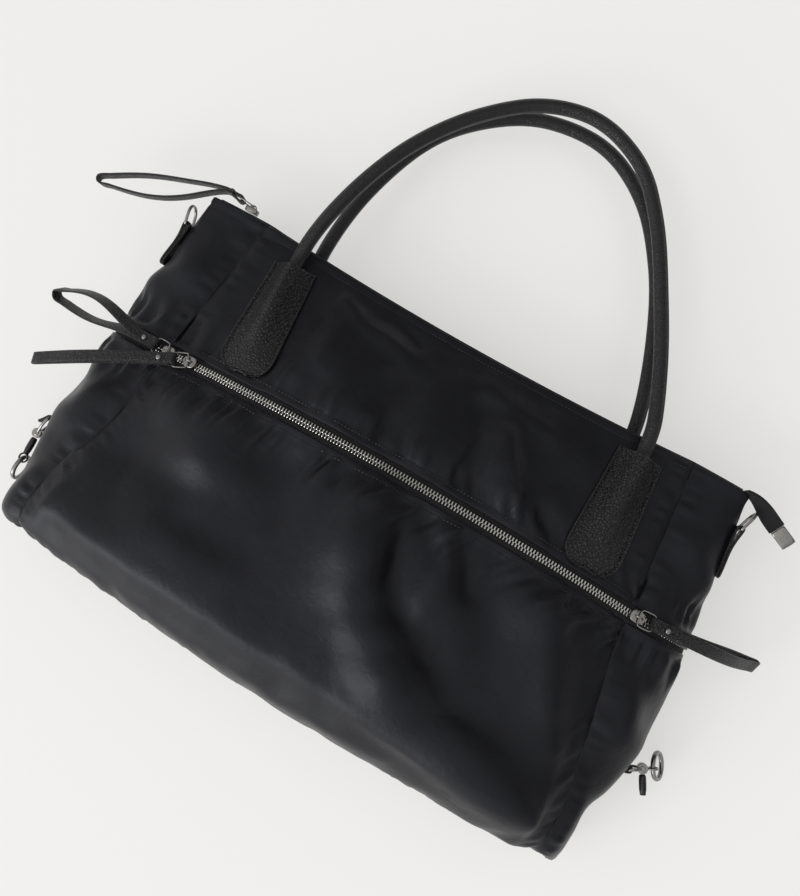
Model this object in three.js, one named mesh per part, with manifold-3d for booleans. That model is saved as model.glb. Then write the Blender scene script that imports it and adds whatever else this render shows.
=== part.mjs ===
import * as THREE from 'three';
import { mergeVertices } from 'three/addons/utils/BufferGeometryUtils.js';
import Module from 'manifold-3d';

// A soft nylon bag with rolled leather handles, lying on its back. Millimetres, +Z up.
// X runs across the bag, Y from its base to its top opening, Z from the back to the front.

// Driving sizes of the bag body
const bagWidth = 524; // across the side folds at the widest place
const bagHeight = 300; // from the base edge to the top opening
const bagDepth = 104; // from the back panel to the crown of the front
const clothWall = 2; // nylon with its backing
const seamGap = 0.3; // clearance between neighbouring pieces
const baseBulge = 2; // how far the base panel swells outwards

// Zips
const zipLevel = 0.62; // where the front zip runs, as a share of the way from base to top
const zipSlot = 12.5; // visible tape between the two cloth edges
const tapeWall = 1.0;
const tapeRecess = 0.8; // the tape lies this far under the cloth
const chainWidth = 6;
const chainHeight = 1.8;
const topTapeMargin = 0.08; // share of the opening left bare on each side of the top tape

// Leather
const handleDiameter = 11;
const handleInset = 110.5; // from the bag's widest fold to a handle's end
const handleReach = 215; // from the patches' top edge to the middle of the handle
const patchTopWidth = 36;
const patchFootWidth = 46;
const leatherWall = 2;
const patchClearance = 0.6;
const patchZipGap = 1; // from the zip slot to the patches' lower edge
const patchInset = 10.5; // from the patches' top edge to the top opening
const patchHold = 11; // how far a handle end reaches under its patch

// Zip pulls
const strapWidth = 9.6;
const strapWall = 1.7;
const pullLength = 116; // from the strap's eye to the end of its loop
const sliderLength = 12;
const sliderWidth = 9;
const sliderHeight = 3.6;
const pullRingLength = 12;
const pullRingWidth = 12.6;
const wireRadius = 0.65;
const eyeRadius = 2.3; // middle of the leather where it turns round the wire
const rivetRadius = 2.4;
const rivetHeight = 1.3;

// D-rings at the top corners
const dringWidth = 17;
const dringReach = 17.5;
const dringWire = 1.25;
const tabWidth = 12.5;
const tabWall = 1.7;
const tabBend = 2.7; // middle of the leather where it turns round the ring's bar
const dringInset = 21.5; // from the top opening down to the ring's bar
const dringHeight = 42;

// Hooks at the lower corners
const loopRingDiameter = 24;
const loopRingWire = 1.9;
const boltDiameter = 6;
const boltLength = 15;
const hubDiameter = 8.4;
const hubHeight = 5;
const eyeWire = 1.3;
const eyeletRadius = 3.9;
const eyeletWire = 0.9;

// Top zip's free end
const tailWidth = 13;
const tailWall = 2.6;
const capLength = 15;
const capWidth = 11.5;
const capWall = 4.2;

const cloth = { color: 0x17181b, roughness: 0.55, metalness: 0 };
const leather = { color: 0x121214, roughness: 0.6, metalness: 0 };
const tapeCloth = { color: 0x0f1012, roughness: 0.8, metalness: 0 };
const nickel = { color: 0x8d8b87, roughness: 0.3, metalness: 1 };
const blackMetal = { color: 0x0b0b0c, roughness: 0.35, metalness: 0.6 };

const halfWidth = bagWidth / 2;
const handleSpacing = bagWidth - 2 * handleInset;
const body = new THREE.Group();

// Cross-sections of the bag. y is a share of bagHeight; widths are shares of half the bag's
// width; heights are shares of bagDepth; lean, bow and tilt are shares of bagHeight. Lean pushes
// the back edge of the base outwards, bow carries the ends of a row up from its middle, and tilt
// carries its right end up and its left end down.
const sectionColumns = ['up', 'y', 'seamLeft', 'seamRight', 'foldLeft', 'foldRight', 'back',
  'crown', 'seam', 'fold', 'rest', 'lean', 'bow', 'tilt'];
const sectionRows = [
  [0.00, -0.058, 0.856, 0.836, 0.950, 0.925, 0.862, 0.54, 0.54, 0.30, 0, -0.052, 0.040, -0.006],
  [0.04, -0.054, 0.878, 0.856, 0.978, 0.934, 0.880, 0.70, 0.66, 0.31, 0, -0.044, 0.038, -0.005],
  [0.09, -0.012, 0.886, 0.866, 1.000, 0.942, 0.890, 0.86, 0.75, 0.32, 0, -0.044, 0.034, -0.004],
  [0.17, 0.083, 0.880, 0.868, 1.008, 0.954, 0.886, 0.95, 0.77, 0.32, 0, -0.038, 0.022, 0],
  [0.28, 0.200, 0.846, 0.846, 1.003, 0.981, 0.866, 1.00, 0.77, 0.32, 0, -0.020, 0.010, 0.002],
  [0.42, 0.346, 0.786, 0.812, 1.006, 0.996, 0.840, 1.00, 0.76, 0.32, 0, 0, 0, 0.004],
  [0.53, 0.484, 0.768, 0.784, 0.998, 0.988, 0.815, 0.98, 0.74, 0.32, 0, 0, -0.012, 0.005],
  [0.62, 0.591, 0.754, 0.768, 0.981, 0.973, 0.800, 0.94, 0.71, 0.33, 0.025, 0, -0.018, 0.005],
  [0.74, 0.702, 0.744, 0.760, 0.964, 0.948, 0.775, 0.84, 0.65, 0.34, 0.08, 0, -0.006, 0.004],
  [0.86, 0.819, 0.730, 0.750, 0.938, 0.928, 0.750, 0.69, 0.57, 0.37, 0.18, 0, 0.012, 0.002],
  [1.00, 0.965, 0.716, 0.736, 0.918, 0.918, 0.722, 0.49, 0.48, 0.415, 0.345, 0, 0.022, -0.008],
];

// A smooth curve through one column of a table, read at any value of its first column.
function readColumn(rows, index, at) {
  const last = rows.length - 1;
  let k = 0;
  while (k < last - 1 && at > rows[k + 1][0]) k += 1;
  const span = rows[k + 1][0] - rows[k][0];
  const slope = (i) => {
    const low = Math.max(i - 1, 0);
    const high = Math.min(i + 1, last);
    return (rows[high][index] - rows[low][index]) / (rows[high][0] - rows[low][0]);
  };
  const t = (at - rows[k][0]) / span;
  const t2 = t * t;
  const t3 = t2 * t;
  return (2 * t3 - 3 * t2 + 1) * rows[k][index] + (t3 - 2 * t2 + t) * span * slope(k)
    + (3 * t2 - 2 * t3) * rows[k + 1][index] + (t3 - t2) * span * slope(k + 1);
}

const sectionUnits = {
  y: bagHeight, lean: bagHeight, bow: bagHeight, tilt: bagHeight,
  crown: bagDepth, seam: bagDepth, fold: bagDepth, rest: bagDepth,
  seamLeft: halfWidth, seamRight: halfWidth, foldLeft: halfWidth, foldRight: halfWidth,
  back: halfWidth,
};

function sectionAt(up) {
  const section = {};
  for (const [name, unit] of Object.entries(sectionUnits)) {
    section[name] = unit * readColumn(sectionRows, sectionColumns.indexOf(name), up);
  }
  const flatLevel = sectionRows[6][0];
  section.rest = up <= flatLevel ? 0 : Math.max(section.rest, 0);
  return section;
}

// Half the zip slot, as a share of the way up.
const upStep = 0.01;
const heightPerUp = (sectionAt(zipLevel + upStep).y - sectionAt(zipLevel - upStep).y) / (2 * upStep);
const slotShare = zipSlot / 2 / heightPerUp;

// Folds of the front. Each runs from one point to another, given as shares across and up the
// front; width and rise are shares of bagDepth, and a dent has a negative rise.
const frontFolds = [
  { fromX: 0.50, fromUp: 0.57, toX: 0.52, toUp: 0.44, width: 0.15, rise: 0.050 },
  { fromX: 0.52, fromUp: 0.44, toX: 0.66, toUp: 0.26, width: 0.17, rise: 0.060 },
  { fromX: 0.66, fromUp: 0.26, toX: 0.90, toUp: 0.13, width: 0.17, rise: 0.06 },
  { fromX: 0.57, fromUp: 0.55, toX: 0.60, toUp: 0.42, width: 0.13, rise: -0.050 },
  { fromX: 0.61, fromUp: 0.40, toX: 0.76, toUp: 0.25, width: 0.17, rise: -0.055 },
  { fromX: 0.10, fromUp: 0.55, toX: 0.26, toUp: 0.42, width: 0.19, rise: 0.05 },
  { fromX: 0.08, fromUp: 0.40, toX: 0.34, toUp: 0.33, width: 0.20, rise: -0.045 },
  { fromX: 0.28, fromUp: 0.57, toX: 0.36, toUp: 0.47, width: 0.13, rise: -0.04 },
  { fromX: 0.66, fromUp: 0.57, toX: 0.68, toUp: 0.46, width: 0.12, rise: 0.06 },
  { fromX: 0.74, fromUp: 0.57, toX: 0.79, toUp: 0.42, width: 0.13, rise: -0.05 },
  { fromX: 0.86, fromUp: 0.54, toX: 0.94, toUp: 0.38, width: 0.14, rise: 0.05 },
  { fromX: 0.36, fromUp: 0.68, toX: 0.30, toUp: 0.82, width: 0.15, rise: 0.05 },
  { fromX: 0.44, fromUp: 0.66, toX: 0.43, toUp: 0.80, width: 0.13, rise: -0.045 },
  { fromX: 0.53, fromUp: 0.66, toX: 0.52, toUp: 0.84, width: 0.15, rise: 0.045 },
  { fromX: 0.63, fromUp: 0.66, toX: 0.59, toUp: 0.86, width: 0.14, rise: -0.05 },
  { fromX: 0.70, fromUp: 0.66, toX: 0.68, toUp: 0.78, width: 0.12, rise: 0.04 },
];
// Pleats of the side panels, as shares round the panel from front seam to back seam and up.
const sideFolds = [
  { fromX: 0.06, fromUp: 0.86, toX: 0.26, toUp: 0.77, width: 0.11, rise: 0.035 },
  { fromX: 0.06, fromUp: 0.76, toX: 0.36, toUp: 0.70, width: 0.10, rise: -0.040 },
  { fromX: 0.06, fromUp: 0.55, toX: 0.34, toUp: 0.48, width: 0.11, rise: -0.045 },
  { fromX: 0.06, fromUp: 0.46, toX: 0.26, toUp: 0.38, width: 0.12, rise: 0.035 },
  { fromX: 0.10, fromUp: 0.30, toX: 0.36, toUp: 0.18, width: 0.13, rise: -0.035 },
];

function foldRelief(folds, across, up, span) {
  let relief = 0;
  for (const fold of folds) {
    const ax = fold.fromX * span;
    const ay = fold.fromUp * bagHeight;
    const bx = fold.toX * span - ax;
    const by = fold.toUp * bagHeight - ay;
    const px = across * span - ax;
    const py = up * bagHeight - ay;
    const along = THREE.MathUtils.clamp((px * bx + py * by) / (bx * bx + by * by), 0, 1);
    const distance = Math.hypot(px - along * bx, py - along * by);
    relief += fold.rise * bagDepth * Math.exp(-((distance / (fold.width * bagDepth)) ** 2));
  }
  return relief;
}

// One point of the outer skin. Panel is front, right, back or left; share runs from 0 to 1
// round the bag in that order, starting at the front's left seam.
function skinPoint(panel, share, up) {
  const section = sectionAt(up);
  const edge = 1 - Math.abs(2 * share - 1);
  const fromZip = THREE.MathUtils.smoothstep(Math.abs(up - zipLevel), slotShare, slotShare + 0.06);
  let x = 0;
  let z = 0;
  let across = 2 * share - 1;
  if (panel === 'front') {
    const crownPower = 2.6;
    const crowned = 1 - Math.abs(across) ** crownPower;
    x = THREE.MathUtils.lerp(-section.seamLeft, section.seamRight, share);
    const calm = Math.min(1, 6 * edge) * Math.min(1, 9 * (1 - up)) * Math.min(1, 9 * up) * fromZip;
    z = THREE.MathUtils.lerp(section.seam, section.crown, crowned)
      + calm * foldRelief(frontFolds, share, up, section.seamLeft + section.seamRight);
  } else if (panel === 'back') {
    x = THREE.MathUtils.lerp(section.back, -section.back, share);
    z = section.rest;
    across = -across;
  } else {
    const side = panel === 'right' ? 1 : -1;
    across = side;
    const fromFront = side > 0 ? share : 1 - share;
    const seam = side > 0 ? section.seamRight : section.seamLeft;
    const fold = side > 0 ? section.foldRight : section.foldLeft;
    const angle = fromFront * Math.PI;
    const calm = Math.min(1, 5 * edge) * Math.min(1, 9 * (1 - up)) * fromZip;
    const relief = calm * foldRelief(sideFolds, fromFront, up, fold - section.back + section.seam);
    if (fromFront <= 0.5) {
      x = side * (seam + (fold - seam + relief) * Math.sin(angle));
      z = section.fold + (section.seam - section.fold + relief) * Math.cos(angle);
    } else {
      x = side * (section.back + (fold - section.back) * Math.sin(angle));
      z = section.fold + (section.fold - section.rest) * Math.cos(angle);
    }
  }
  const y = section.y + section.bow * across ** 2 + section.tilt * across
    + section.lean * (1 - z / section.crown);
  return new THREE.Vector3(x, y, z);
}

// Rows of the mesh: the lower rows end below the zip slot and the upper rows start above it.
const lowerCount = 10;
const upperCount = 6;
const frontCount = 24;
const sideCount = 6;
const backCount = 12;
const rowLevels = [];
for (let i = 0; i <= lowerCount; i += 1) {
  rowLevels.push((zipLevel - slotShare) * (i / lowerCount) ** 1.25);
}
for (let i = 0; i <= upperCount; i += 1) {
  rowLevels.push(THREE.MathUtils.lerp(zipLevel + slotShare, 1, i / upperCount));
}
const panelSpans = [
  { panel: 'front', count: frontCount },
  { panel: 'right', count: sideCount },
  { panel: 'back', count: backCount },
  { panel: 'left', count: sideCount },
];
const ringStarts = {};
const ringPlaces = [];
for (const span of panelSpans) {
  ringStarts[span.panel] = ringPlaces.length;
  for (let j = 0; j < span.count; j += 1) {
    ringPlaces.push({ panel: span.panel, share: j / span.count });
  }
}
const ringCount = ringPlaces.length;
const skin = rowLevels.map((up) => ringPlaces.map((place) => skinPoint(place.panel, place.share, up)));

// The base closes the lowest ring: its rows run from the front seam to the back seam, and its
// columns match the front's. The back has half as many, so every other point is a midpoint.
const baseRows = [];
{
  const ring = skin[0];
  const front = (i) => ring[i % ringCount];
  const backPoint = (i) => {
    const place = ringStarts.back + (frontCount - i) / 2;
    return ring[Math.floor(place)].clone().lerp(ring[Math.ceil(place) % ringCount], place % 1);
  };
  const leftPoint = (j) => ring[(ringCount - j) % ringCount];
  const rightPoint = (j) => ring[ringStarts.right + j];
  for (let j = 0; j <= sideCount; j += 1) {
    const row = [];
    const w = j / sideCount;
    for (let i = 0; i <= frontCount; i += 1) {
      const s = i / frontCount;
      const point = new THREE.Vector3()
        .addScaledVector(front(i), 1 - w).addScaledVector(backPoint(i), w)
        .addScaledVector(leftPoint(j), 1 - s).addScaledVector(rightPoint(j), s)
        .addScaledVector(front(0), -(1 - w) * (1 - s)).addScaledVector(front(frontCount), -(1 - w) * s)
        .addScaledVector(backPoint(0), -w * (1 - s)).addScaledVector(backPoint(frontCount), -w * s);
      point.y -= baseBulge * Math.sin(Math.PI * w) * Math.sin(Math.PI * s) ** 0.5;
      row.push(point);
    }
    baseRows.push(row);
  }
}

// Normals of the whole skin, so that neighbouring panels turn the same corner.
const skinNormals = skin.map((row) => row.map(() => new THREE.Vector3()));
const baseNormals = baseRows.map((row) => row.map(() => new THREE.Vector3()));
function addFace(points, normals) {
  const [a, b, c, d] = points;
  const normal = new THREE.Vector3().subVectors(c, a).cross(new THREE.Vector3().subVectors(d, b)).normalize();
  for (const vertexNormal of normals) vertexNormal.add(normal);
}
for (let i = 0; i + 1 < skin.length; i += 1) {
  for (let j = 0; j < ringCount; j += 1) {
    const k = (j + 1) % ringCount;
    addFace([skin[i][j], skin[i][k], skin[i + 1][k], skin[i + 1][j]],
      [skinNormals[i][j], skinNormals[i][k], skinNormals[i + 1][k], skinNormals[i + 1][j]]);
  }
}
function ringIndexOfBase(i, j) {
  if (j === 0) return i;
  if (j === sideCount) return (frontCount - i) % 2 ? -1 : ringStarts.back + (frontCount - i) / 2;
  if (i === 0) return ringCount - j;
  return i === frontCount ? ringStarts.right + j : -1;
}
for (let j = 0; j < sideCount; j += 1) {
  for (let i = 0; i < frontCount; i += 1) {
    const corners = [[i, j], [i, j + 1], [i + 1, j + 1], [i + 1, j]];
    const targets = [];
    for (const [u, w] of corners) {
      targets.push(baseNormals[w][u]);
      const shared = ringIndexOfBase(u, w);
      if (shared >= 0) targets.push(skinNormals[0][shared % ringCount]);
    }
    addFace(corners.map(([u, w]) => baseRows[w][u]), targets);
  }
}
for (let j = 0; j <= sideCount; j += 1) {
  for (let i = 0; i <= frontCount; i += 1) {
    const shared = ringIndexOfBase(i, j);
    if (shared >= 0) baseNormals[j][i].copy(skinNormals[0][shared % ringCount]);
  }
}
for (let i = 1; i < frontCount; i += 2) {
  const row = baseNormals[sideCount];
  row[i].copy(row[i - 1]).normalize().add(row[i + 1].clone().normalize());
}
for (const row of [...skinNormals, ...baseNormals]) row.forEach((normal) => normal.normalize());

// A closed solid between an outer and an inner grid of points with the same rows and columns.
function slabGeometry(outer, inner) {
  const rows = outer.length;
  const columns = outer[0].length;
  const vertices = [...outer.flat(), ...inner.flat()].flatMap((point) => [point.x, point.y, point.z]);
  const top = (i, j) => i * columns + j;
  const low = (i, j) => rows * columns + i * columns + j;
  const faces = [];
  const quad = (a, b, c, d) => faces.push(a, b, c, a, c, d);
  for (let i = 0; i + 1 < rows; i += 1) {
    for (let j = 0; j + 1 < columns; j += 1) {
      quad(top(i, j), top(i, j + 1), top(i + 1, j + 1), top(i + 1, j));
      quad(low(i, j), low(i + 1, j), low(i + 1, j + 1), low(i, j + 1));
    }
  }
  const rim = [];
  for (let j = 0; j + 1 < columns; j += 1) rim.push([0, j]);
  for (let i = 0; i + 1 < rows; i += 1) rim.push([i, columns - 1]);
  for (let j = columns - 1; j > 0; j -= 1) rim.push([rows - 1, j]);
  for (let i = rows - 1; i > 0; i -= 1) rim.push([i, 0]);
  rim.forEach((place, k) => {
    const next = rim[(k + 1) % rim.length];
    quad(top(...place), low(...place), low(...next), top(...next));
  });
  return indexedGeometry(vertices, faces);
}

function indexedGeometry(vertices, faces) {
  const geometry = new THREE.BufferGeometry();
  geometry.setAttribute('position', new THREE.Float32BufferAttribute(vertices, 3));
  geometry.setIndex(faces);
  geometry.computeVertexNormals();
  return geometry;
}

function addMesh(name, geometry, finish) {
  const mesh = new THREE.Mesh(geometry, new THREE.MeshStandardMaterial(finish));
  mesh.name = name;
  body.add(mesh);
  return mesh;
}

// Draws a grid's edges in, square to each edge, so that neighbouring panels leave the seam gap.
function drawIn(grid, inset) {
  const drawRow = (row, inner) => row.map((point, j) => {
    const along = new THREE.Vector3()
      .subVectors(row[Math.min(j + 1, row.length - 1)], row[Math.max(j - 1, 0)]).normalize();
    const step = new THREE.Vector3().subVectors(inner[j], point);
    step.addScaledVector(along, -step.dot(along));
    return point.clone().addScaledVector(step, inset / step.length());
  });
  const drawEnds = (rows) => {
    const last = rows.length - 1;
    return [drawRow(rows[0], rows[1]), ...rows.slice(1, last), drawRow(rows[last], rows[last - 1])];
  };
  const turn = (rows) => rows[0].map((_, j) => rows.map((row) => row[j]));
  return turn(drawEnds(turn(drawEnds(grid))));
}

function panelSolid(points, normals) {
  const inside = points.map((row, i) => row.map((point, j) => (
    point.clone().addScaledVector(normals[i][j], -clothWall))));
  return slabGeometry(drawIn(points, panelInset), drawIn(inside, panelInset));
}

function ringRange(source, rows, panel, count) {
  return rows.map((i) => {
    const row = [];
    for (let j = 0; j <= count; j += 1) row.push(source[i][(ringStarts[panel] + j) % ringCount]);
    return row;
  });
}
const rowRange = (from, to) => Array.from({ length: to - from + 1 }, (_, i) => from + i);
const lowerRows = rowRange(0, lowerCount);
const upperRows = rowRange(lowerCount + 1, rowLevels.length - 1);
const allRows = rowRange(0, rowLevels.length - 1);
const panelInset = 1.4 * seamGap;
const clothPanels = [
  { name: 'front_pocket_panel', panel: 'front', rows: lowerRows, count: frontCount },
  { name: 'front_upper_panel', panel: 'front', rows: upperRows, count: frontCount },
  { name: 'right_lower_gusset', panel: 'right', rows: lowerRows, count: sideCount },
  { name: 'right_upper_gusset', panel: 'right', rows: upperRows, count: sideCount },
  { name: 'left_lower_gusset', panel: 'left', rows: lowerRows, count: sideCount },
  { name: 'left_upper_gusset', panel: 'left', rows: upperRows, count: sideCount },
  { name: 'back_panel', panel: 'back', rows: allRows, count: backCount },
];
for (const { name, panel, rows, count } of clothPanels) {
  const points = ringRange(skin, rows, panel, count);
  const normals = ringRange(skinNormals, rows, panel, count);
  addMesh(name, panelSolid(points, normals), cloth);
}
{
  const flip = (rows) => rows.map((row) => [...row].reverse());
  addMesh('base_panel', panelSolid(flip(baseRows), flip(baseNormals)), cloth);
}

// A strip of the skin between two levels, from the left back seam round the front to the right.
function zipStrip(lowLevel, highLevel, lowOffset, highOffset) {
  const path = [...rowRange(ringStarts.left + 1, ringCount - 1), ...rowRange(0, ringStarts.back - 1)];
  const low = lowerCount;
  const high = lowerCount + 1;
  const at = (share, offset) => path.map((j) => {
    const point = skin[low][j].clone().lerp(skin[high][j], share);
    const normal = skinNormals[low][j].clone().lerp(skinNormals[high][j], share).normalize();
    return point.addScaledVector(normal, offset);
  });
  const outer = [at(lowLevel, highOffset), at(highLevel, highOffset)];
  const inner = [at(lowLevel, lowOffset), at(highLevel, lowOffset)];
  return slabGeometry(outer, inner);
}
const tapeMargin = (seamGap + 0.1) / zipSlot;
const chainShare = chainWidth / 2 / zipSlot;
const chainFoot = -tapeRecess + seamGap;
const chainTop = chainFoot + chainHeight;
addMesh('front_zip_tape', zipStrip(tapeMargin, 1 - tapeMargin, -tapeRecess - tapeWall, -tapeRecess), tapeCloth);
addMesh('front_zip_chain', zipStrip(0.5 - chainShare, 0.5 + chainShare, chainFoot, chainTop), nickel);

// The top opening: tape and chain lie between the front and the back edge of the cloth.
const topRow = skin[rowLevels.length - 1];
const topFront = [];
const topBack = [];
{
  const halfSide = sideCount / 2;
  for (const j of rowRange(ringCount - halfSide + 1, ringCount - 1)) topFront.push(topRow[j]);
  for (const j of rowRange(0, frontCount + halfSide - 1)) topFront.push(topRow[j]);
  const backRun = rowRange(ringStarts.back - halfSide + 1, ringStarts.left + halfSide - 1);
  const backLine = backRun.map((j) => topRow[j]).reverse();
  const curve = new THREE.CatmullRomCurve3(backLine, false, 'centripetal');
  const leftEnd = topFront[0].x;
  const rightEnd = topFront[topFront.length - 1].x;
  for (const point of topFront) {
    const share = (point.x - leftEnd) / (rightEnd - leftEnd);
    topBack.push(curve.getPointAt(THREE.MathUtils.clamp(share, 0, 1)));
  }
}
function topStrip(frontShare, backShare, rise, wall, from, to) {
  const line = (share, height) => rowRange(from, to).map((k) => {
    const point = topFront[k].clone().lerp(topBack[k], share);
    point.y += height;
    return point;
  });
  const outer = [line(backShare, rise), line(frontShare, rise)];
  const inner = [line(backShare, rise - wall), line(frontShare, rise - wall)];
  return slabGeometry(inner, outer);
}
const topEnd = topFront.length - 1;
const topTapeRise = seamGap + tapeWall;
const topChainRise = topTapeRise + seamGap + chainHeight;
const topChainMargin = 0.3;
addMesh('top_zip_tape', topStrip(topTapeMargin, 1 - topTapeMargin, topTapeRise, tapeWall, 0, topEnd),
  tapeCloth);
addMesh('top_zip_chain',
  topStrip(topChainMargin, 1 - topChainMargin, topChainRise, chainHeight, 1, topEnd - 1), nickel);

const wasm = await Module();
wasm.setup();

// Joins closed geometries that run into each other into one solid.
function joined(geometries) {
  const solids = geometries.map((geometry) => {
    const bare = geometry.clone();
    bare.deleteAttribute('normal');
    bare.deleteAttribute('uv');
    const merged = mergeVertices(bare, 1e-4);
    return new wasm.Manifold(new wasm.Mesh({
      numProp: 3,
      vertProperties: new Float32Array(merged.attributes.position.array),
      triVerts: new Uint32Array(merged.index.array),
    }));
  });
  const mesh = solids.reduce((whole, solid) => whole.add(solid)).getMesh();
  return indexedGeometry([...mesh.vertProperties], [...mesh.triVerts]);
}

// Turns the faces round if they point into the solid.
function facedOut(vertices, faces) {
  const at = (i) => new THREE.Vector3().fromArray(vertices, 3 * i);
  let volume = 0;
  for (let i = 0; i < faces.length; i += 3) {
    volume += at(faces[i]).dot(at(faces[i + 1]).cross(at(faces[i + 2])));
  }
  if (volume < 0) faces.reverse();
  return indexedGeometry(vertices, faces);
}

// Places along a path, each with a direction close to the given one and square to the path.
function stationsAlong(points, direction, closed = false) {
  const count = points.length;
  return points.map((at, i) => {
    const before = closed ? points[(i + count - 1) % count] : points[Math.max(i - 1, 0)];
    const after = closed ? points[(i + 1) % count] : points[Math.min(i + 1, count - 1)];
    const ahead = new THREE.Vector3().subVectors(after, before).normalize();
    const wide = (Array.isArray(direction) ? direction[i] : direction).clone();
    wide.addScaledVector(ahead, -wide.dot(ahead)).normalize();
    return { at, wide, thick: new THREE.Vector3().crossVectors(ahead, wide) };
  });
}

function sweepGeometry(stations, section, closed = false) {
  const count = section.length;
  const vertices = stations.flatMap(({ at, wide, thick }) => section.flatMap(([u, v]) => (
    at.clone().addScaledVector(wide, u).addScaledVector(thick, v).toArray())));
  const faces = [];
  const spans = closed ? stations.length : stations.length - 1;
  for (let i = 0; i < spans; i += 1) {
    const here = i * count;
    const next = ((i + 1) % stations.length) * count;
    for (let k = 0; k < count; k += 1) {
      const m = (k + 1) % count;
      faces.push(here + k, here + m, next + m, here + k, next + m, next + k);
    }
  }
  if (!closed) {
    const end = (stations.length - 1) * count;
    for (let k = 1; k + 1 < count; k += 1) {
      faces.push(0, k + 1, k, end, end + k, end + k + 1);
    }
  }
  return facedOut(vertices, faces);
}

const strapSection = (width, wall) => [[-width / 2, -wall / 2], [width / 2, -wall / 2],
  [width / 2, wall / 2], [-width / 2, wall / 2]];
const roundSection = (radius, sides) => Array.from({ length: sides }, (_, k) => {
  const angle = (k + 0.5) / sides * 2 * Math.PI;
  return [radius * Math.cos(angle), radius * Math.sin(angle)];
});
const wireSides = 6;
const handleSides = 8;

// The height of the meshed skin over a place, on the front or on the back.
function skinHeight(panel, x, y) {
  const count = panel === 'front' ? frontCount : backCount;
  for (let i = 0; i + 1 < skin.length; i += 1) {
    for (let j = ringStarts[panel]; j < ringStarts[panel] + count; j += 1) {
      const corners = [skin[i][j], skin[i][j + 1], skin[i + 1][j + 1], skin[i + 1][j]];
      for (const [a, b, c] of [[0, 1, 2], [0, 2, 3]]) {
        const triangle = [corners[a], corners[b], corners[c]];
        const flat = triangle.map((point) => new THREE.Vector3(point.x, point.y, 0));
        const weights = THREE.Triangle.getBarycoord(new THREE.Vector3(x, y, 0), ...flat,
          new THREE.Vector3());
        if (weights && Math.min(weights.x, weights.y, weights.z) > -1e-6) {
          return triangle[0].z * weights.x + triangle[1].z * weights.y + triangle[2].z * weights.z;
        }
      }
    }
  }
  throw new Error(`no skin at ${x}, ${y}`);
}

// Leather patches: a flat stitched rim and a raised middle that takes the handle's end. feet and
// tops are where the patch's middle line starts and ends, as shares of half the handle spacing.
const patches = [
  { name: 'front_patch_left', panel: 'front', foot: -0.884, top: -0.967 },
  { name: 'front_patch_right', panel: 'front', foot: 1.046, top: 1.030 },
  { name: 'back_patch_left', panel: 'back', foot: -0.900, top: -0.930 },
  { name: 'back_patch_right', panel: 'back', foot: 0.975, top: 0.965 },
];
const patchRoot = sectionAt(zipLevel).y + zipSlot / 2 + patchZipGap;
const patchLength = sectionAt(1).y - patchInset - patchRoot;
const patchCorner = 0.36 * patchFootWidth; // corner radius of the rounded foot
const patchBulge = handleDiameter + 3 * seamGap + 2;
const patchRim = 0.14; // share of the half width that stays flat
const patchLevels = [0, 0.04, 0.12, 0.26, 0.44, 0.64, 0.82, 1];
const patchColumns = 8;
const bulgeFull = 0.8; // share of the patch's length where the bulge is full
const bulgePower = 1.5;

function patchAxis({ foot, top }) {
  const start = new THREE.Vector3(foot * handleSpacing / 2, patchRoot, 0);
  const ahead = new THREE.Vector3(top * handleSpacing / 2, patchRoot + patchLength, 0).sub(start);
  ahead.normalize();
  return { start, ahead, across: new THREE.Vector3(ahead.y, -ahead.x, 0) };
}

function patchGeometry(patch) {
  const { start, ahead, across } = patchAxis(patch);
  const outwards = patch.panel === 'front' ? 1 : -1;
  const grid = (extra) => patchLevels.map((level) => {
    const fromFoot = level * patchLength;
    const width = THREE.MathUtils.lerp(patchFootWidth, patchTopWidth, level) / 2;
    const depth = Math.max(patchCorner - fromFoot, 0);
    const half = width - patchCorner + Math.sqrt(patchCorner ** 2 - depth ** 2);
    const rise = patchBulge * Math.sin(Math.min(level / bulgeFull, 1) * Math.PI / 2) ** bulgePower;
    return Array.from({ length: patchColumns + 1 }, (_, k) => {
      const side = 2 * k / patchColumns - 1;
      const arch = Math.cos(Math.min(Math.abs(side) / (1 - patchRim), 1) * Math.PI / 2) ** 2;
      const point = start.clone().addScaledVector(ahead, fromFoot).addScaledVector(across, side * half);
      point.z = skinHeight(patch.panel, point.x, point.y)
        + outwards * (patchClearance + rise * arch + extra);
      return point;
    });
  });
  const slab = slabGeometry(grid(leatherWall), grid(0));
  return facedOut([...slab.attributes.position.array], [...slab.index.array]);
}
for (const patch of patches) addMesh(patch.name, patchGeometry(patch), leather);

// Handles. Each row of a route gives shares of half the handle spacing, of the handle's reach and
// of the bag's depth; the ends lie on the skin under the patches.
const frontHandleRoute = [
  [-0.965, 0.08, 0.610], [-0.933, 0.22, 0.635], [-0.847, 0.425, 0.635], [-0.722, 0.622, 0.596],
  [-0.522, 0.815, 0.538], [-0.262, 0.963, 0.480], [0.024, 1.005, 0.460], [0.314, 0.929, 0.460],
  [0.523, 0.773, 0.480], [0.741, 0.520, 0.520], [0.904, 0.295, 0.558], [1.015, 0.090, 0.596],
];
const backHandleRoute = [
  [-0.936, 0.138, 0.288], [-0.903, 0.401, 0.240], [-0.762, 0.690, 0.192], [-0.572, 0.850, 0.173],
  [-0.286, 0.972, 0.154], [0.085, 0.988, 0.154], [0.392, 0.874, 0.173], [0.640, 0.662, 0.192],
  [0.812, 0.415, 0.230], [0.940, 0.132, 0.288],
];
const handleSteps = 34;

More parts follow.
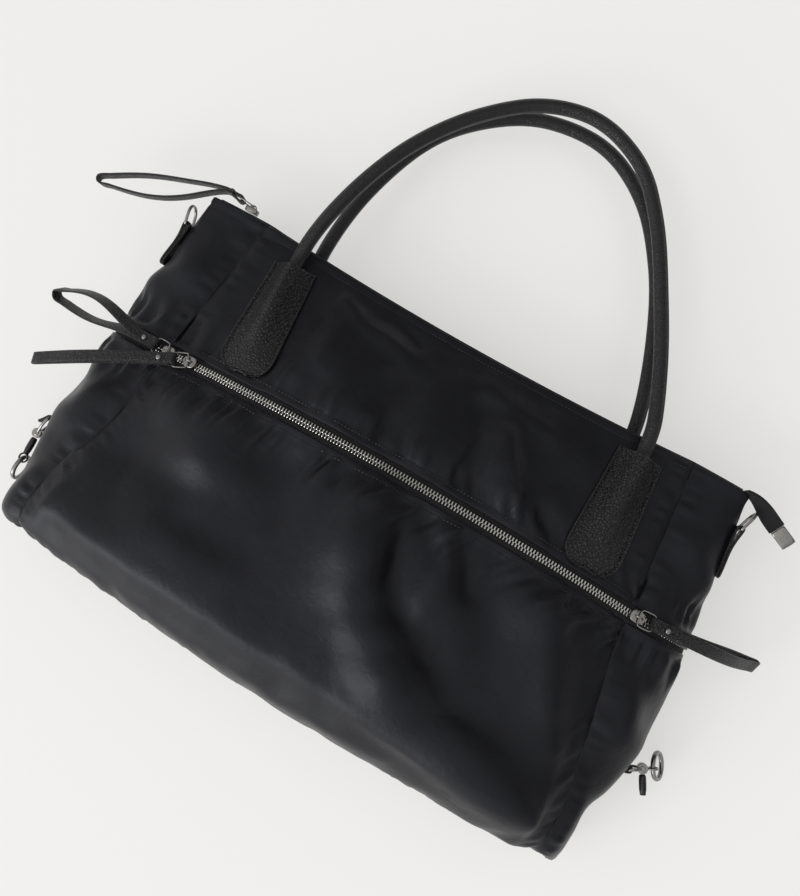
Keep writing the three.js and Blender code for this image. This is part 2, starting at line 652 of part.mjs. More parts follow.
function handleEnd(patch, fromTop) {
  const { start, ahead } = patchAxis(patch);
  const outwards = patch.panel === 'front' ? 1 : -1;
  const point = start.clone().addScaledVector(ahead, patchLength - fromTop);
  const clear = handleDiameter / 2 + 2 * seamGap;
  point.z = skinHeight(patch.panel, point.x, point.y) + outwards * clear;
  return point;
}
function handleGeometry(route, leftPatch, rightPatch) {
  const middle = route.map(([across, reach, lift]) => new THREE.Vector3(
    across * handleSpacing / 2, patchRoot + patchLength + reach * handleReach, lift * bagDepth));
  const points = [handleEnd(leftPatch, patchHold), handleEnd(leftPatch, 0), ...middle,
    handleEnd(rightPatch, 0), handleEnd(rightPatch, patchHold)];
  const curve = new THREE.CatmullRomCurve3(points, false, 'centripetal');
  const stations = stationsAlong(curve.getSpacedPoints(handleSteps), new THREE.Vector3(0, 0, 1));
  return sweepGeometry(stations, roundSection(handleDiameter / 2, handleSides));
}
addMesh('front_handle', handleGeometry(frontHandleRoute, patches[0], patches[1]), leather);
addMesh('back_handle', handleGeometry(backHandleRoute, patches[2], patches[3]), leather);

// Places on a zip: the point on top of the tape, the way along the zip and the outward normal.
function frontZipPlace(share) {
  const at = share * frontCount;
  const j = Math.floor(at);
  const middle = (k) => {
    const ring = (k + ringCount) % ringCount;
    return skin[lowerCount][ring].clone().lerp(skin[lowerCount + 1][ring], 0.5);
  };
  const ring = (Math.round(at) + ringCount) % ringCount;
  const normal = skinNormals[lowerCount][ring].clone().add(skinNormals[lowerCount + 1][ring]);
  return {
    point: middle(j).lerp(middle(j + 1), at - j),
    along: new THREE.Vector3().subVectors(middle(j + 1), middle(j)).normalize(),
    normal: normal.normalize(),
    top: chainTop,
  };
}
function topZipPlace(share) {
  const at = share * topEnd;
  const k = Math.floor(at);
  const middle = (i) => topFront[i].clone().lerp(topBack[i], 0.5);
  return {
    point: middle(k).lerp(middle(k + 1), at - k),
    along: new THREE.Vector3().subVectors(middle(k + 1), middle(k)).normalize(),
    normal: new THREE.Vector3(0, 1, 0),
    top: topChainRise,
  };
}

// Zip pulls. turn is the heading of the pull's ring away from the zip's own line, in degrees, and
// lift its slope away from the bag. The bend and the tip of the pull are shares of its length from
// the eye: outwards across the bag, up the bag, and upwards. spread is the loop's opening as a share
// of the length, and tilt turns the loop about its own line, in degrees.
const pulls = [
  { name: 'left_gusset', place: frontZipPlace(0.014), facing: -1, turn: -2, lift: 0.06, spread: 0.19,
    tilt: 48, bend: [0.42, 0.02, -0.09], tip: [0.955, -0.035, -0.31] },
  { name: 'left_front', place: frontZipPlace(0.066), facing: -1, turn: 25, lift: 0.17, spread: 0.03,
    tilt: 0, bend: [0.50, -0.245, -0.03], tip: [0.95, -0.47, -0.20] },
  { name: 'right', place: frontZipPlace(1.008), facing: 1, turn: 4, lift: 0.07, spread: 0.07,
    tilt: 30, bend: [0.42, 0.04, -0.13], tip: [0.78, 0.095, -0.52] },
  { name: 'top', place: topZipPlace(0.045), facing: -1, turn: 3, lift: 0.07, spread: 0.16,
    tilt: 0, bend: [0.465, -0.15, -0.02], tip: [1.04, -0.352, -0.06] },
];
const crownRadius = 2.9;
const crownWire = 0.8;
const wireLift = 1.25; // the ring's wire above the slider's top
const eyeSpan = 5.2; // from the eye to where the two strands meet
const rivetSpan = 10.5;
const loopStart = 15;
const loopShares = [0.13, 0.28, 0.45, 0.62, 0.78, 0.90, 0.97];
const tipPower = 3; // how squarely the loop is rounded at its tip
const strandGap = strapWall / 2 + seamGap / 2;

function sliderGeometry() {
  const shape = new THREE.Shape([[-0.5, -0.33], [-0.33, -0.5], [0.25, -0.5], [0.5, -0.3],
    [0.5, 0.3], [0.25, 0.5], [-0.33, 0.5], [-0.5, 0.33]]
    .map(([u, v]) => new THREE.Vector2(u * sliderLength, v * sliderWidth)));
  const plate = new THREE.ExtrudeGeometry(shape, { depth: sliderHeight, bevelEnabled: false });
  const crown = new THREE.TorusGeometry(crownRadius, crownWire, wireSides, 10);
  crown.rotateX(Math.PI / 2).translate(0, 0, sliderHeight);
  return joined([plate, crown]);
}

function roundedLoop(centre, ahead, across, length, width, steps) {
  const squareness = 0.35;
  return Array.from({ length: steps }, (_, k) => {
    const angle = (k + 0.5) / steps * 2 * Math.PI;
    const soften = (value) => Math.sign(value) * Math.abs(value) ** squareness;
    return centre.clone().addScaledVector(ahead, length / 2 * soften(Math.cos(angle)))
      .addScaledVector(across, width / 2 * soften(Math.sin(angle)));
  });
}

function addPull({ name, place, facing, turn, lift, spread, tilt, bend, tip }) {
  const { normal } = place;
  const line = place.along.clone().multiplyScalar(facing);
  line.addScaledVector(normal, -line.dot(normal)).normalize();
  const side = new THREE.Vector3().crossVectors(normal, line);
  const foot = place.point.clone().addScaledVector(normal, place.top + 1.3 * seamGap);
  const slider = sliderGeometry();
  slider.applyMatrix4(new THREE.Matrix4().makeBasis(line, side, normal).setPosition(foot));
  addMesh(`${name}_slider`, slider, nickel);

  const ahead = line.clone().applyAxisAngle(normal, THREE.MathUtils.degToRad(turn));
  const across = new THREE.Vector3().crossVectors(normal, ahead);
  ahead.addScaledVector(normal, lift).normalize();
  const hook = foot.clone().addScaledVector(normal, sliderHeight + wireLift);
  const ringCentre = hook.clone().addScaledVector(ahead, pullRingLength / 2);
  const ringPath = roundedLoop(ringCentre, ahead, across, pullRingLength, pullRingWidth, 12);
  const upright = new THREE.Vector3().crossVectors(ahead, across);
  addMesh(`${name}_pull_ring`,
    sweepGeometry(stationsAlong(ringPath, upright, true), roundSection(wireRadius, wireSides), true), nickel);

  const eye = hook.clone().addScaledVector(ahead, pullRingLength);
  const reach = ([outwards, upBag, upwards]) => (
    new THREE.Vector3(facing * outwards, upBag, upwards).multiplyScalar(pullLength).add(eye));
  const spine = new THREE.CatmullRomCurve3([eye, eye.clone().addScaledVector(ahead, loopStart),
    reach(bend), reach(tip)], false, 'centripetal');
  const length = spine.getLength();
  const strand = [[-eyeRadius, 0], [-0.7 * eyeRadius, 0.72 * eyeRadius], [0, eyeRadius],
    [eyeSpan / 2, 0.8 * eyeRadius], [eyeSpan, strandGap + 0.2], [rivetSpan, strandGap],
    [loopStart, strandGap]];
  const tipHalf = Math.max(eyeRadius, 0.36 * spread * pullLength);
  for (const share of loopShares) {
    const open = strandGap + (spread * pullLength / 2 - strandGap) * Math.sin(Math.PI * share ** 1.15);
    const tip = tipHalf * share ** tipPower;
    const closing = Math.sqrt(1 - share ** (2 * tipPower));
    strand.push([THREE.MathUtils.lerp(loopStart, length, share),
      Math.max(strandGap, Math.hypot(open, tip) * closing)]);
  }
  strand.push([length, 0]);
  const outline = [...strand, ...strand.slice(1, -1).reverse().map(([a, b]) => [a, -b])];
  const placeOn = (a) => {
    const share = THREE.MathUtils.clamp(a / length, 0, 1);
    const point = spine.getPointAt(share);
    const onwards = spine.getTangentAt(share);
    point.addScaledVector(onwards, Math.min(a, 0));
    const turned = THREE.MathUtils.degToRad(tilt) * Math.min(2 * share, 1);
    const wide = across.clone().applyAxisAngle(onwards, turned);
    wide.addScaledVector(onwards, -wide.dot(onwards)).normalize();
    return { point, wide, over: new THREE.Vector3().crossVectors(onwards, wide) };
  };
  const path = outline.map(([a, b]) => {
    const { point, over } = placeOn(a);
    return point.addScaledVector(over, b);
  });
  const widths = outline.map(([a]) => placeOn(a).wide);
  addMesh(`${name}_pull_strap`,
    sweepGeometry(stationsAlong(path, widths, true), strapSection(strapWidth, strapWall), true), leather);

  const seat = placeOn(rivetSpan);
  const profile = [[0, 0], [1, 0], [0.8, 0.7], [0, 1]]
    .map(([r, h]) => new THREE.Vector2(r * rivetRadius, h * rivetHeight));
  const rivet = new THREE.LatheGeometry(profile, 8).rotateX(Math.PI / 2);
  const rivetFoot = seat.point.clone().addScaledVector(seat.over, strandGap + strapWall / 2 + seamGap);
  const alongStrap = new THREE.Vector3().crossVectors(seat.wide, seat.over);
  rivet.applyMatrix4(new THREE.Matrix4().makeBasis(alongStrap, seat.wide, seat.over).setPosition(rivetFoot));
  const bare = mergeVertices(rivet.deleteAttribute('uv').deleteAttribute('normal'), 1e-4);
  addMesh(`${name}_pull_rivet`, facedOut([...bare.attributes.position.array], [...bare.index.array]), nickel);
}
pulls.forEach(addPull);

// The farthest a side panel reaches out at one level up the bag, between two heights.
function sideReach(side, y, low, high) {
  const cut = [];
  for (let j = ringStarts[side]; j <= ringStarts[side] + sideCount; j += 1) {
    const column = skin.map((row) => row[j % ringCount]);
    const i = column.findIndex((point, k) => k > 0 && column[k - 1].y <= y && point.y >= y);
    if (i > 0) {
      const share = (y - column[i - 1].y) / (column[i].y - column[i - 1].y);
      cut.push(column[i - 1].clone().lerp(column[i], share));
    }
  }
  const samples = 40;
  let reach = 0;
  for (let k = 1; k < cut.length; k += 1) {
    for (let m = 0; m <= samples; m += 1) {
      const point = cut[k - 1].clone().lerp(cut[k], m / samples);
      if (point.z >= low && point.z <= high) reach = Math.max(reach, Math.abs(point.x));
    }
  }
  return reach;
}

// Points on part of a circle round an upright line, from one heading to another, in degrees.
function turnRound(centre, radius, from, to, steps) {
  return Array.from({ length: steps + 1 }, (_, k) => {
    const angle = THREE.MathUtils.degToRad(THREE.MathUtils.lerp(from, to, k / steps));
    return centre.clone().add(new THREE.Vector3(Math.cos(angle), Math.sin(angle), 0).multiplyScalar(radius));
  });
}
const upwards = new THREE.Vector3(0, 0, 1);
const turnSteps = 5;

// A leather tab whose inner layer lies on the side panel; it turns round a bar and comes back.
function tabRun(side, z, width, levels) {
  const sign = side === 'right' ? 1 : -1;
  return levels.map((y) => {
    const reach = sideReach(side, y, z - width / 2, z + width / 2);
    return new THREE.Vector3(sign * (reach + 2 * seamGap + tabWall / 2), y, z);
  });
}
function addTab(name, path, width) {
  addMesh(name, sweepGeometry(stationsAlong(path, upwards), strapSection(width, tabWall)), leather);
}

// D-rings and their tabs: root is how far the tab runs down from the bar, heading is where the
// ring points, in degrees from straight out.
const drings = [
  { side: 'left', root: 38, heading: 104 },
  { side: 'right', root: 40, heading: 73 },
];
const dringSteps = 8;
for (const { side, root, heading } of drings) {
  const sign = side === 'right' ? 1 : -1;
  const barLevel = sectionAt(1).y - dringInset;
  const levels = [0, 0.35, 0.7, 1].map((share) => barLevel - root * (1 - share));
  const inner = tabRun(side, dringHeight, tabWidth, levels);
  const bar = inner[inner.length - 1].clone().setX(inner[inner.length - 1].x + sign * tabBend);
  const bend = turnRound(bar, tabBend, sign > 0 ? 180 : 0, sign > 0 ? 10 : 170, turnSteps);
  const layers = tabWall + seamGap;
  const outer = inner.slice(0, 3).reverse().map((point) => point.clone().setX(point.x + sign * layers));
  addTab(`${side}_dring_tab`, [...inner.slice(0, 3), ...bend, ...outer], tabWidth);

  const angle = THREE.MathUtils.degToRad(heading);
  const out = new THREE.Vector3(Math.cos(angle), Math.sin(angle), 0);
  const half = dringWidth / 2;
  const loop = [[0, -half], [0, 0], [0, half]];
  for (let k = 0; k <= dringSteps; k += 1) {
    const turn = (k / dringSteps) * Math.PI;
    loop.push([dringReach - half + half * Math.sin(turn), half * Math.cos(turn)]);
  }
  const wire = loop.map(([far, aside]) => bar.clone().addScaledVector(out, far)
    .addScaledVector(upwards, aside));
  const around = new THREE.Vector3().crossVectors(out, upwards);
  addMesh(`${side}_dring`,
    sweepGeometry(stationsAlong(wire, around, true), roundSection(dringWire, wireSides), true), nickel);
}

function discGeometry(radius, height, sides) {
  return new THREE.CylinderGeometry(radius, radius, height, sides).rotateX(Math.PI / 2);
}
const discSides = 12;
const ringSteps = 16;

// Hooks: an eye whose bar lies in a leather tab, a bolt hinged on the eye's hub, and a ring for a
// strap. The eye's heading and the bolt's are in degrees from straight out to the right.
const eyeReach = 10.5; // from the eye's bar to the middle of its hub
const eyeBar = 13;
const hookTabWidth = 9.4;
const capRadius = 2.2;
function eyeWireGeometry(bar, heading, reach) {
  const angle = THREE.MathUtils.degToRad(heading);
  const out = new THREE.Vector3(Math.cos(angle), Math.sin(angle), 0);
  const half = eyeBar / 2;
  const loop = [[0, -half], [0, 0], [0, half], [0.4, half], [0.8, 0.45 * half], [1, 0.15 * half],
    [1, -0.15 * half], [0.8, -0.45 * half], [0.4, -half]];
  const wire = loop.map(([far, aside]) => bar.clone().addScaledVector(out, far * reach)
    .addScaledVector(upwards, aside));
  const around = new THREE.Vector3().crossVectors(out, upwards);
  return sweepGeometry(stationsAlong(wire, around, true), roundSection(eyeWire, wireSides), true);
}
function hubGeometry(centre) {
  const hub = discGeometry(hubDiameter / 2, hubHeight, discSides);
  const head = discGeometry(hubDiameter / 4, hubHeight + 1.2, discSides);
  return joined([hub, head]).translate(centre.x, centre.y, centre.z);
}
function eyeletGeometry(centre, across) {
  const eyelet = new THREE.TorusGeometry(eyeletRadius, eyeletWire, wireSides, 10);
  const side = new THREE.Vector3().crossVectors(upwards, across);
  if (side.length() < 0.5) return eyelet.translate(centre.x, centre.y, centre.z);
  eyelet.applyMatrix4(new THREE.Matrix4().makeBasis(side.normalize(), upwards, across).setPosition(centre));
  return eyelet;
}
function boltGeometry(start, ahead, length) {
  const profile = [[0, 0], [0.75, 0], [1, 0.08], [1, 0.8], [0.8, 0.86], [0.8, 1], [0, 1]]
    .map(([r, h]) => new THREE.Vector2(r * boltDiameter / 2, h * length));
  const bolt = new THREE.LatheGeometry(profile, discSides);
  bolt.applyQuaternion(new THREE.Quaternion().setFromUnitVectors(new THREE.Vector3(0, 1, 0), ahead));
  return bolt.translate(start.x, start.y, start.z);
}
function ringGeometry(centre, normal) {
  const first = new THREE.Vector3().crossVectors(upwards, normal).normalize();
  const second = new THREE.Vector3().crossVectors(normal, first);
  const radius = loopRingDiameter / 2 - loopRingWire;
  const path = Array.from({ length: ringSteps }, (_, k) => {
    const angle = (k + 0.5) / ringSteps * 2 * Math.PI;
    return centre.clone().addScaledVector(first, radius * Math.cos(angle))
      .addScaledVector(second, radius * Math.sin(angle));
  });
  return sweepGeometry(stationsAlong(path, normal, true), roundSection(loopRingWire, wireSides), true);
}
const ringReach = loopRingDiameter / 2 - loopRingWire;

// Left hook: the tab runs up the side panel and turns down again round the bar; the eye hangs down
// the bag from it, then the bolt, and the ring passes through a small eyelet at the bolt's tip.
{
  const height = 38;
  const levels = [53, 61, 69, 76];
  const inner = tabRun('left', height, hookTabWidth, levels);
  const bar = inner[3].clone().setX(inner[3].x - tabBend);
  const bend = turnRound(bar, tabBend, 0, 165, turnSteps);
  const free = [[-5.2, -3.2], [-8.6, -6.5]].map(([x, y]) => bar.clone().add(new THREE.Vector3(x, y, 0)));
  addTab('left_hook_tab', [...inner.slice(0, 3), ...bend, ...free], hookTabWidth);

  const reach = 1.5 * eyeReach;
  const heading = 254;
  const angle = THREE.MathUtils.degToRad(heading);
  const hub = bar.clone().add(new THREE.Vector3(Math.cos(angle), Math.sin(angle), 0).multiplyScalar(reach));
  addMesh('left_hook_eye', joined([eyeWireGeometry(bar, heading, reach), hubGeometry(hub)]), nickel);

  const ahead = new THREE.Vector3(0, -1, 0);
  const start = hub.clone().addScaledVector(ahead, hubDiameter / 2 + seamGap);
  const eyelet = start.clone().addScaledVector(ahead, boltLength + eyeletRadius - seamGap);
  addMesh('left_hook_bolt',
    joined([boltGeometry(start, ahead, boltLength), eyeletGeometry(eyelet, upwards)]), blackMetal);
  const sag = THREE.MathUtils.degToRad(32);
  const outDown = ahead.clone().multiplyScalar(Math.cos(sag)).addScaledVector(upwards, -Math.sin(sag));
  const centre = eyelet.clone().addScaledVector(outDown, ringReach);
  addMesh('left_strap_ring', ringGeometry(centre, new THREE.Vector3(1, 0, 0)), nickel);
}

// Right hook: the tab stands off the side panel, the eye points outwards from it, the bolt hangs
// down the bag, and the ring leans outwards from an eyelet on the hub.
{
  const height = 24;
  const heading = 30;
  const lean = THREE.MathUtils.degToRad(62);
  const angle = THREE.MathUtils.degToRad(heading);
  const out = new THREE.Vector3(Math.cos(angle), Math.sin(angle), 0);
  const aside = new THREE.Vector3(-out.y, out.x, 0);
  const rootLevel = 68.5;
  const [root] = tabRun('right', height, hookTabWidth, [rootLevel]);
  root.addScaledVector(out, seamGap);
  const bar = root.clone().addScaledVector(out, 6);
  const layer = (tabWall + 1.5 * seamGap) / 2;
  const bend = turnRound(bar, tabBend, heading + 110, heading - 110, turnSteps);
  addTab('right_hook_tab', [root.clone().addScaledVector(aside, layer), ...bend,
    root.clone().addScaledVector(aside, -layer)], hookTabWidth);

  const hub = bar.clone().addScaledVector(out, eyeReach);
  const eyelet = hub.clone().addScaledVector(out, hubDiameter / 2 + eyeletRadius - seamGap);
  addMesh('right_hook_eye', joined([eyeWireGeometry(bar, heading, eyeReach), hubGeometry(hub),
    eyeletGeometry(eyelet, aside)]), nickel);
  const ahead = aside.clone().negate();
  const start = hub.clone().addScaledVector(ahead, hubDiameter / 2 + seamGap);
  addMesh('right_hook_bolt', boltGeometry(start, ahead, boltLength), blackMetal);
  const outDown = out.clone().multiplyScalar(Math.cos(lean)).addScaledVector(upwards, -Math.sin(lean));
  const centre = eyelet.clone().addScaledVector(outDown, ringReach);
  addMesh('right_strap_ring', ringGeometry(centre, new THREE.Vector3().crossVectors(outDown, aside)), nickel);
}

// The top zip's tape runs on past the right corner and ends in a metal cap.
{
  const route = [[236.5, 295.4, 44], [244, 294.9, 43.5], [253, 291.4, 42],
    [262, 286.8, 39], [270.5, 283, 37.2]];
  const curve = new THREE.CatmullRomCurve3(route.map((at) => new THREE.Vector3(...at)), false, 'centripetal');
  const steps = 7;
  const path = curve.getSpacedPoints(steps);
  const flat = new THREE.Vector3(0.4, 0.9, 0.2);
  const widths = path.map((_, k) => upwards.clone().lerp(flat, k / steps).normalize());
  addMesh('top_zip_tail', sweepGeometry(stationsAlong(path, widths), strapSection(tailWidth, tailWall)),
    tapeCloth);
  const end = path[steps];
  const ahead = new THREE.Vector3().subVectors(end, path[steps - 1]).normalize();
  const capFrom = end.clone().addScaledVector(ahead, 2 * seamGap);
  const cap = [capFrom, capFrom.clone().addScaledVector(ahead, capLength)];
  const bevel = 0.8;
  const [w, h] = [capWidth / 2, capWall / 2];
  const section = [[-w, bevel - h], [bevel - w, -h], [w - bevel, -h], [w, bevel - h],
    [w, h - bevel], [w - bevel, h], [bevel - w, h], [-w, h - bevel]];
  addMesh('top_zip_cap', sweepGeometry(stationsAlong(cap, widths[steps]), section), nickel);
}

// The origin lies under the middle of the whole bag, at the level it rests on.
const bounds = new THREE.Box3().setFromObject(body);
const middle = bounds.getCenter(new THREE.Vector3()).setZ(bounds.min.z);
body.traverse((child) => {
  if (child.isMesh) child.geometry.translate(-middle.x, -middle.y, -middle.z);
});

export default body;
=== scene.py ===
import math

import bmesh
import bpy
import numpy as np
from mathutils import Matrix, Vector


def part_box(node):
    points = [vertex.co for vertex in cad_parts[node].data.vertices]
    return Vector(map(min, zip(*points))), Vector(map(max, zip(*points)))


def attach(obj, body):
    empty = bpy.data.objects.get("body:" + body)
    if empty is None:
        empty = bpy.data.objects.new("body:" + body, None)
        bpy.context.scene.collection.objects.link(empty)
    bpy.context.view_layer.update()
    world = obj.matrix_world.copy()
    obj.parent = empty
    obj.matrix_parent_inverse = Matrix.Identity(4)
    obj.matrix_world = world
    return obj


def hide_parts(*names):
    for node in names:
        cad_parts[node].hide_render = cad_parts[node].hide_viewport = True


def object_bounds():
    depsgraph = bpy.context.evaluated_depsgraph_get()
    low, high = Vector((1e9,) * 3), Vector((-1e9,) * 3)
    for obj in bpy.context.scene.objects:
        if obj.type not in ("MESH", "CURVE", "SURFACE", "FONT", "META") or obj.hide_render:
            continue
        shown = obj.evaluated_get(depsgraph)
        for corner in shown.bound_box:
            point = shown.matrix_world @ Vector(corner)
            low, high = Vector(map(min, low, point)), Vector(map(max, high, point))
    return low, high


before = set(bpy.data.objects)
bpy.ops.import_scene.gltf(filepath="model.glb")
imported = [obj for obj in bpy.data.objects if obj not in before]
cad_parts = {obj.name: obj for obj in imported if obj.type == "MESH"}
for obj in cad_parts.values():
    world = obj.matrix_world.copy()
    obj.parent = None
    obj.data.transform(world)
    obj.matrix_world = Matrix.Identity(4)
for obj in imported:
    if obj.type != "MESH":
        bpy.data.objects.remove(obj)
low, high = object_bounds()

# Surfaces of the bag
# The nylon has a fine weave that only shows as a soft sheen, and the leather has a raised pebble
# grain. Both patterns are node groups, and the other pieces below use them as well.


def new_group(name, inputs, outputs):
    group = bpy.data.node_groups.new(name, "ShaderNodeTree")
    for socket, kind, value in inputs:
        made = group.interface.new_socket(socket, in_out="INPUT", socket_type=kind)
        made.default_value = value
    for socket, kind in outputs:
        group.interface.new_socket(socket, in_out="OUTPUT", socket_type=kind)
    return group


def node(tree, kind, **values):
    """A new shader node; values set its fields, or its input sockets by name."""
    made = tree.nodes.new(kind)
    for key, value in values.items():
        socket = key.replace("_", " ")
        if socket in made.inputs:
            made.inputs[socket].default_value = value
        else:
            setattr(made, key, value)
    return made


def ramp(tree, stops):
    made = tree.nodes.new("ShaderNodeValToRGB")
    elements = made.color_ramp.elements
    while len(elements) < len(stops):
        elements.new(0.5)
    for element, (place, value) in zip(elements, stops):
        element.position = place
        element.color = (value, value, value, 1)
    return made


PEBBLE_SIZE = 0.0025
weave_group = new_group(
    "Woven cloth",
    [("Thread", "NodeSocketFloat", 0.0012), ("Depth", "NodeSocketFloat", 0.3),
     ("Crumple", "NodeSocketFloat", 0.0)],
    [("Normal", "NodeSocketVector"), ("Mottle", "NodeSocketFloat")])
grain_group = new_group(
    "Pebble grain",
    [("Size", "NodeSocketFloat", PEBBLE_SIZE), ("Depth", "NodeSocketFloat", 0.6)],
    [("Normal", "NodeSocketVector"), ("Crease", "NodeSocketFloat")])


def build_weave(tree):
    place = node(tree, "ShaderNodeTexCoord")
    given = node(tree, "NodeGroupInput")
    scale = node(tree, "ShaderNodeMath", operation="DIVIDE")
    scale.inputs[0].default_value = 1.0
    tree.links.new(given.outputs["Thread"], scale.inputs[1])
    warp = node(tree, "ShaderNodeTexWave", wave_type="BANDS", bands_direction="X", Distortion=0.6)
    weft = node(tree, "ShaderNodeTexWave", wave_type="BANDS", bands_direction="Y", Distortion=0.6)
    for wave in (warp, weft):
        tree.links.new(place.outputs["Object"], wave.inputs["Vector"])
        tree.links.new(scale.outputs[0], wave.inputs["Scale"])
    both = node(tree, "ShaderNodeMath", operation="ADD")
    tree.links.new(warp.outputs["Fac"], both.inputs[0])
    tree.links.new(weft.outputs["Fac"], both.inputs[1])
    bump = node(tree, "ShaderNodeBump", Distance=0.00012)
    tree.links.new(given.outputs["Depth"], bump.inputs["Strength"])
    tree.links.new(both.outputs[0], bump.inputs["Height"])
    mottle = node(tree, "ShaderNodeTexNoise", Scale=55, Detail=5, Roughness=0.6)
    tree.links.new(place.outputs["Object"], mottle.inputs["Vector"])
    crumple = node(tree, "ShaderNodeTexNoise", Scale=95, Detail=6, Roughness=0.55, Distortion=0.8)
    tree.links.new(place.outputs["Object"], crumple.inputs["Vector"])
    crinkles = node(tree, "ShaderNodeBump", Distance=0.0022)
    tree.links.new(given.outputs["Crumple"], crinkles.inputs["Strength"])
    tree.links.new(crumple.outputs["Fac"], crinkles.inputs["Height"])
    tree.links.new(bump.outputs["Normal"], crinkles.inputs["Normal"])
    result = node(tree, "NodeGroupOutput")
    tree.links.new(crinkles.outputs["Normal"], result.inputs["Normal"])
    tree.links.new(mottle.outputs["Fac"], result.inputs["Mottle"])


def build_grain(tree):
    place = node(tree, "ShaderNodeTexCoord")
    given = node(tree, "NodeGroupInput")
    scale = node(tree, "ShaderNodeMath", operation="DIVIDE")
    scale.inputs[0].default_value = 1.0
    tree.links.new(given.outputs["Size"], scale.inputs[1])
    wander = node(tree, "ShaderNodeTexNoise", Scale=260, Detail=2)
    tree.links.new(place.outputs["Object"], wander.inputs["Vector"])
    mix = node(tree, "ShaderNodeMix", data_type="VECTOR")
    mix.inputs["Factor"].default_value = 0.0006
    tree.links.new(place.outputs["Object"], mix.inputs["A"])
    tree.links.new(wander.outputs["Color"], mix.inputs["B"])
    cells = node(tree, "ShaderNodeTexVoronoi", feature="DISTANCE_TO_EDGE")
    tree.links.new(mix.outputs["Result"], cells.inputs["Vector"])
    tree.links.new(scale.outputs[0], cells.inputs["Scale"])
    rounded = ramp(tree, [(0.0, 0.0), (0.10, 0.60), (0.34, 1.0)])
    tree.links.new(cells.outputs["Distance"], rounded.inputs["Fac"])
    bump = node(tree, "ShaderNodeBump", Distance=0.0008)
    tree.links.new(given.outputs["Depth"], bump.inputs["Strength"])
    tree.links.new(rounded.outputs["Color"], bump.inputs["Height"])
    result = node(tree, "NodeGroupOutput")
    tree.links.new(bump.outputs["Normal"], result.inputs["Normal"])
    tree.links.new(rounded.outputs["Color"], result.inputs["Crease"])


build_weave(weave_group)
build_grain(grain_group)


def new_material(name):
    material = bpy.data.materials.new(name)
    material.use_nodes = True
    tree = material.node_tree
    return material, tree, tree.nodes["Principled BSDF"]


def use_group(tree, group, **values):
    made = tree.nodes.new("ShaderNodeGroup")
    made.node_tree = group
    for socket, value in values.items():
        made.inputs[socket].default_value = value
    return made


def mixed_colour(tree, factor, first, second):
    made = node(tree, "ShaderNodeMix", data_type="RGBA")
    made.inputs["A"].default_value = (*first, 1)
    made.inputs["B"].default_value = (*second, 1)
    tree.links.new(factor, made.inputs["Factor"])
    return made.outputs["Result"]


def mapped(tree, factor, smallest, largest):
    made = node(tree, "ShaderNodeMapRange")
    made.inputs["To Min"].default_value = smallest
    made.inputs["To Max"].default_value = largest
    tree.links.new(factor, made.inputs["Value"])
    return made.outputs["Result"]


# Nylon panels
# Eight sewn panels of thin black nylon over a slack, lightly filled bag. The cloth keeps the
# frame's outline. Its big folds are set by a table, and a cloth simulation with a little spare
# cloth adds the smaller ones.

NYLON_DARK = (0.0046, 0.0047, 0.0064)
NYLON_LIGHT = (0.0084, 0.0085, 0.0106)
nylon, tree, shader = new_material("nylon")
weave = use_group(tree, weave_group, Thread=0.0012, Depth=0.22, Crumple=0.22)
tree.links.new(mixed_colour(tree, weave.outputs["Mottle"], NYLON_DARK, NYLON_LIGHT),
               shader.inputs["Base Color"])
tree.links.new(mapped(tree, weave.outputs["Mottle"], 0.32, 0.43), shader.inputs["Roughness"])
tree.links.new(weave.outputs["Normal"], shader.inputs["Normal"])
shader.inputs["Specular IOR Level"].default_value = 0.19
shader.inputs["Specular Tint"].default_value = (0.90, 0.93, 1.0, 1)
shader.inputs["Sheen Weight"].default_value = 0.08
shader.inputs["Sheen Roughness"].default_value = 0.25

# A face of a panel is its outer side if it looks away from the nearest point of a block in the
# middle of the bag. HEART is the block's reach to the sides and up the bag, and its level.
HEART = Vector((0.17, 0.10, 0.036))
HEART_BASE = -0.16
CLOTH_WALL = 0.0012
MERGE = 0.00002
RIM_TURN = 0.45  # the least cosine between neighbouring faces of one side


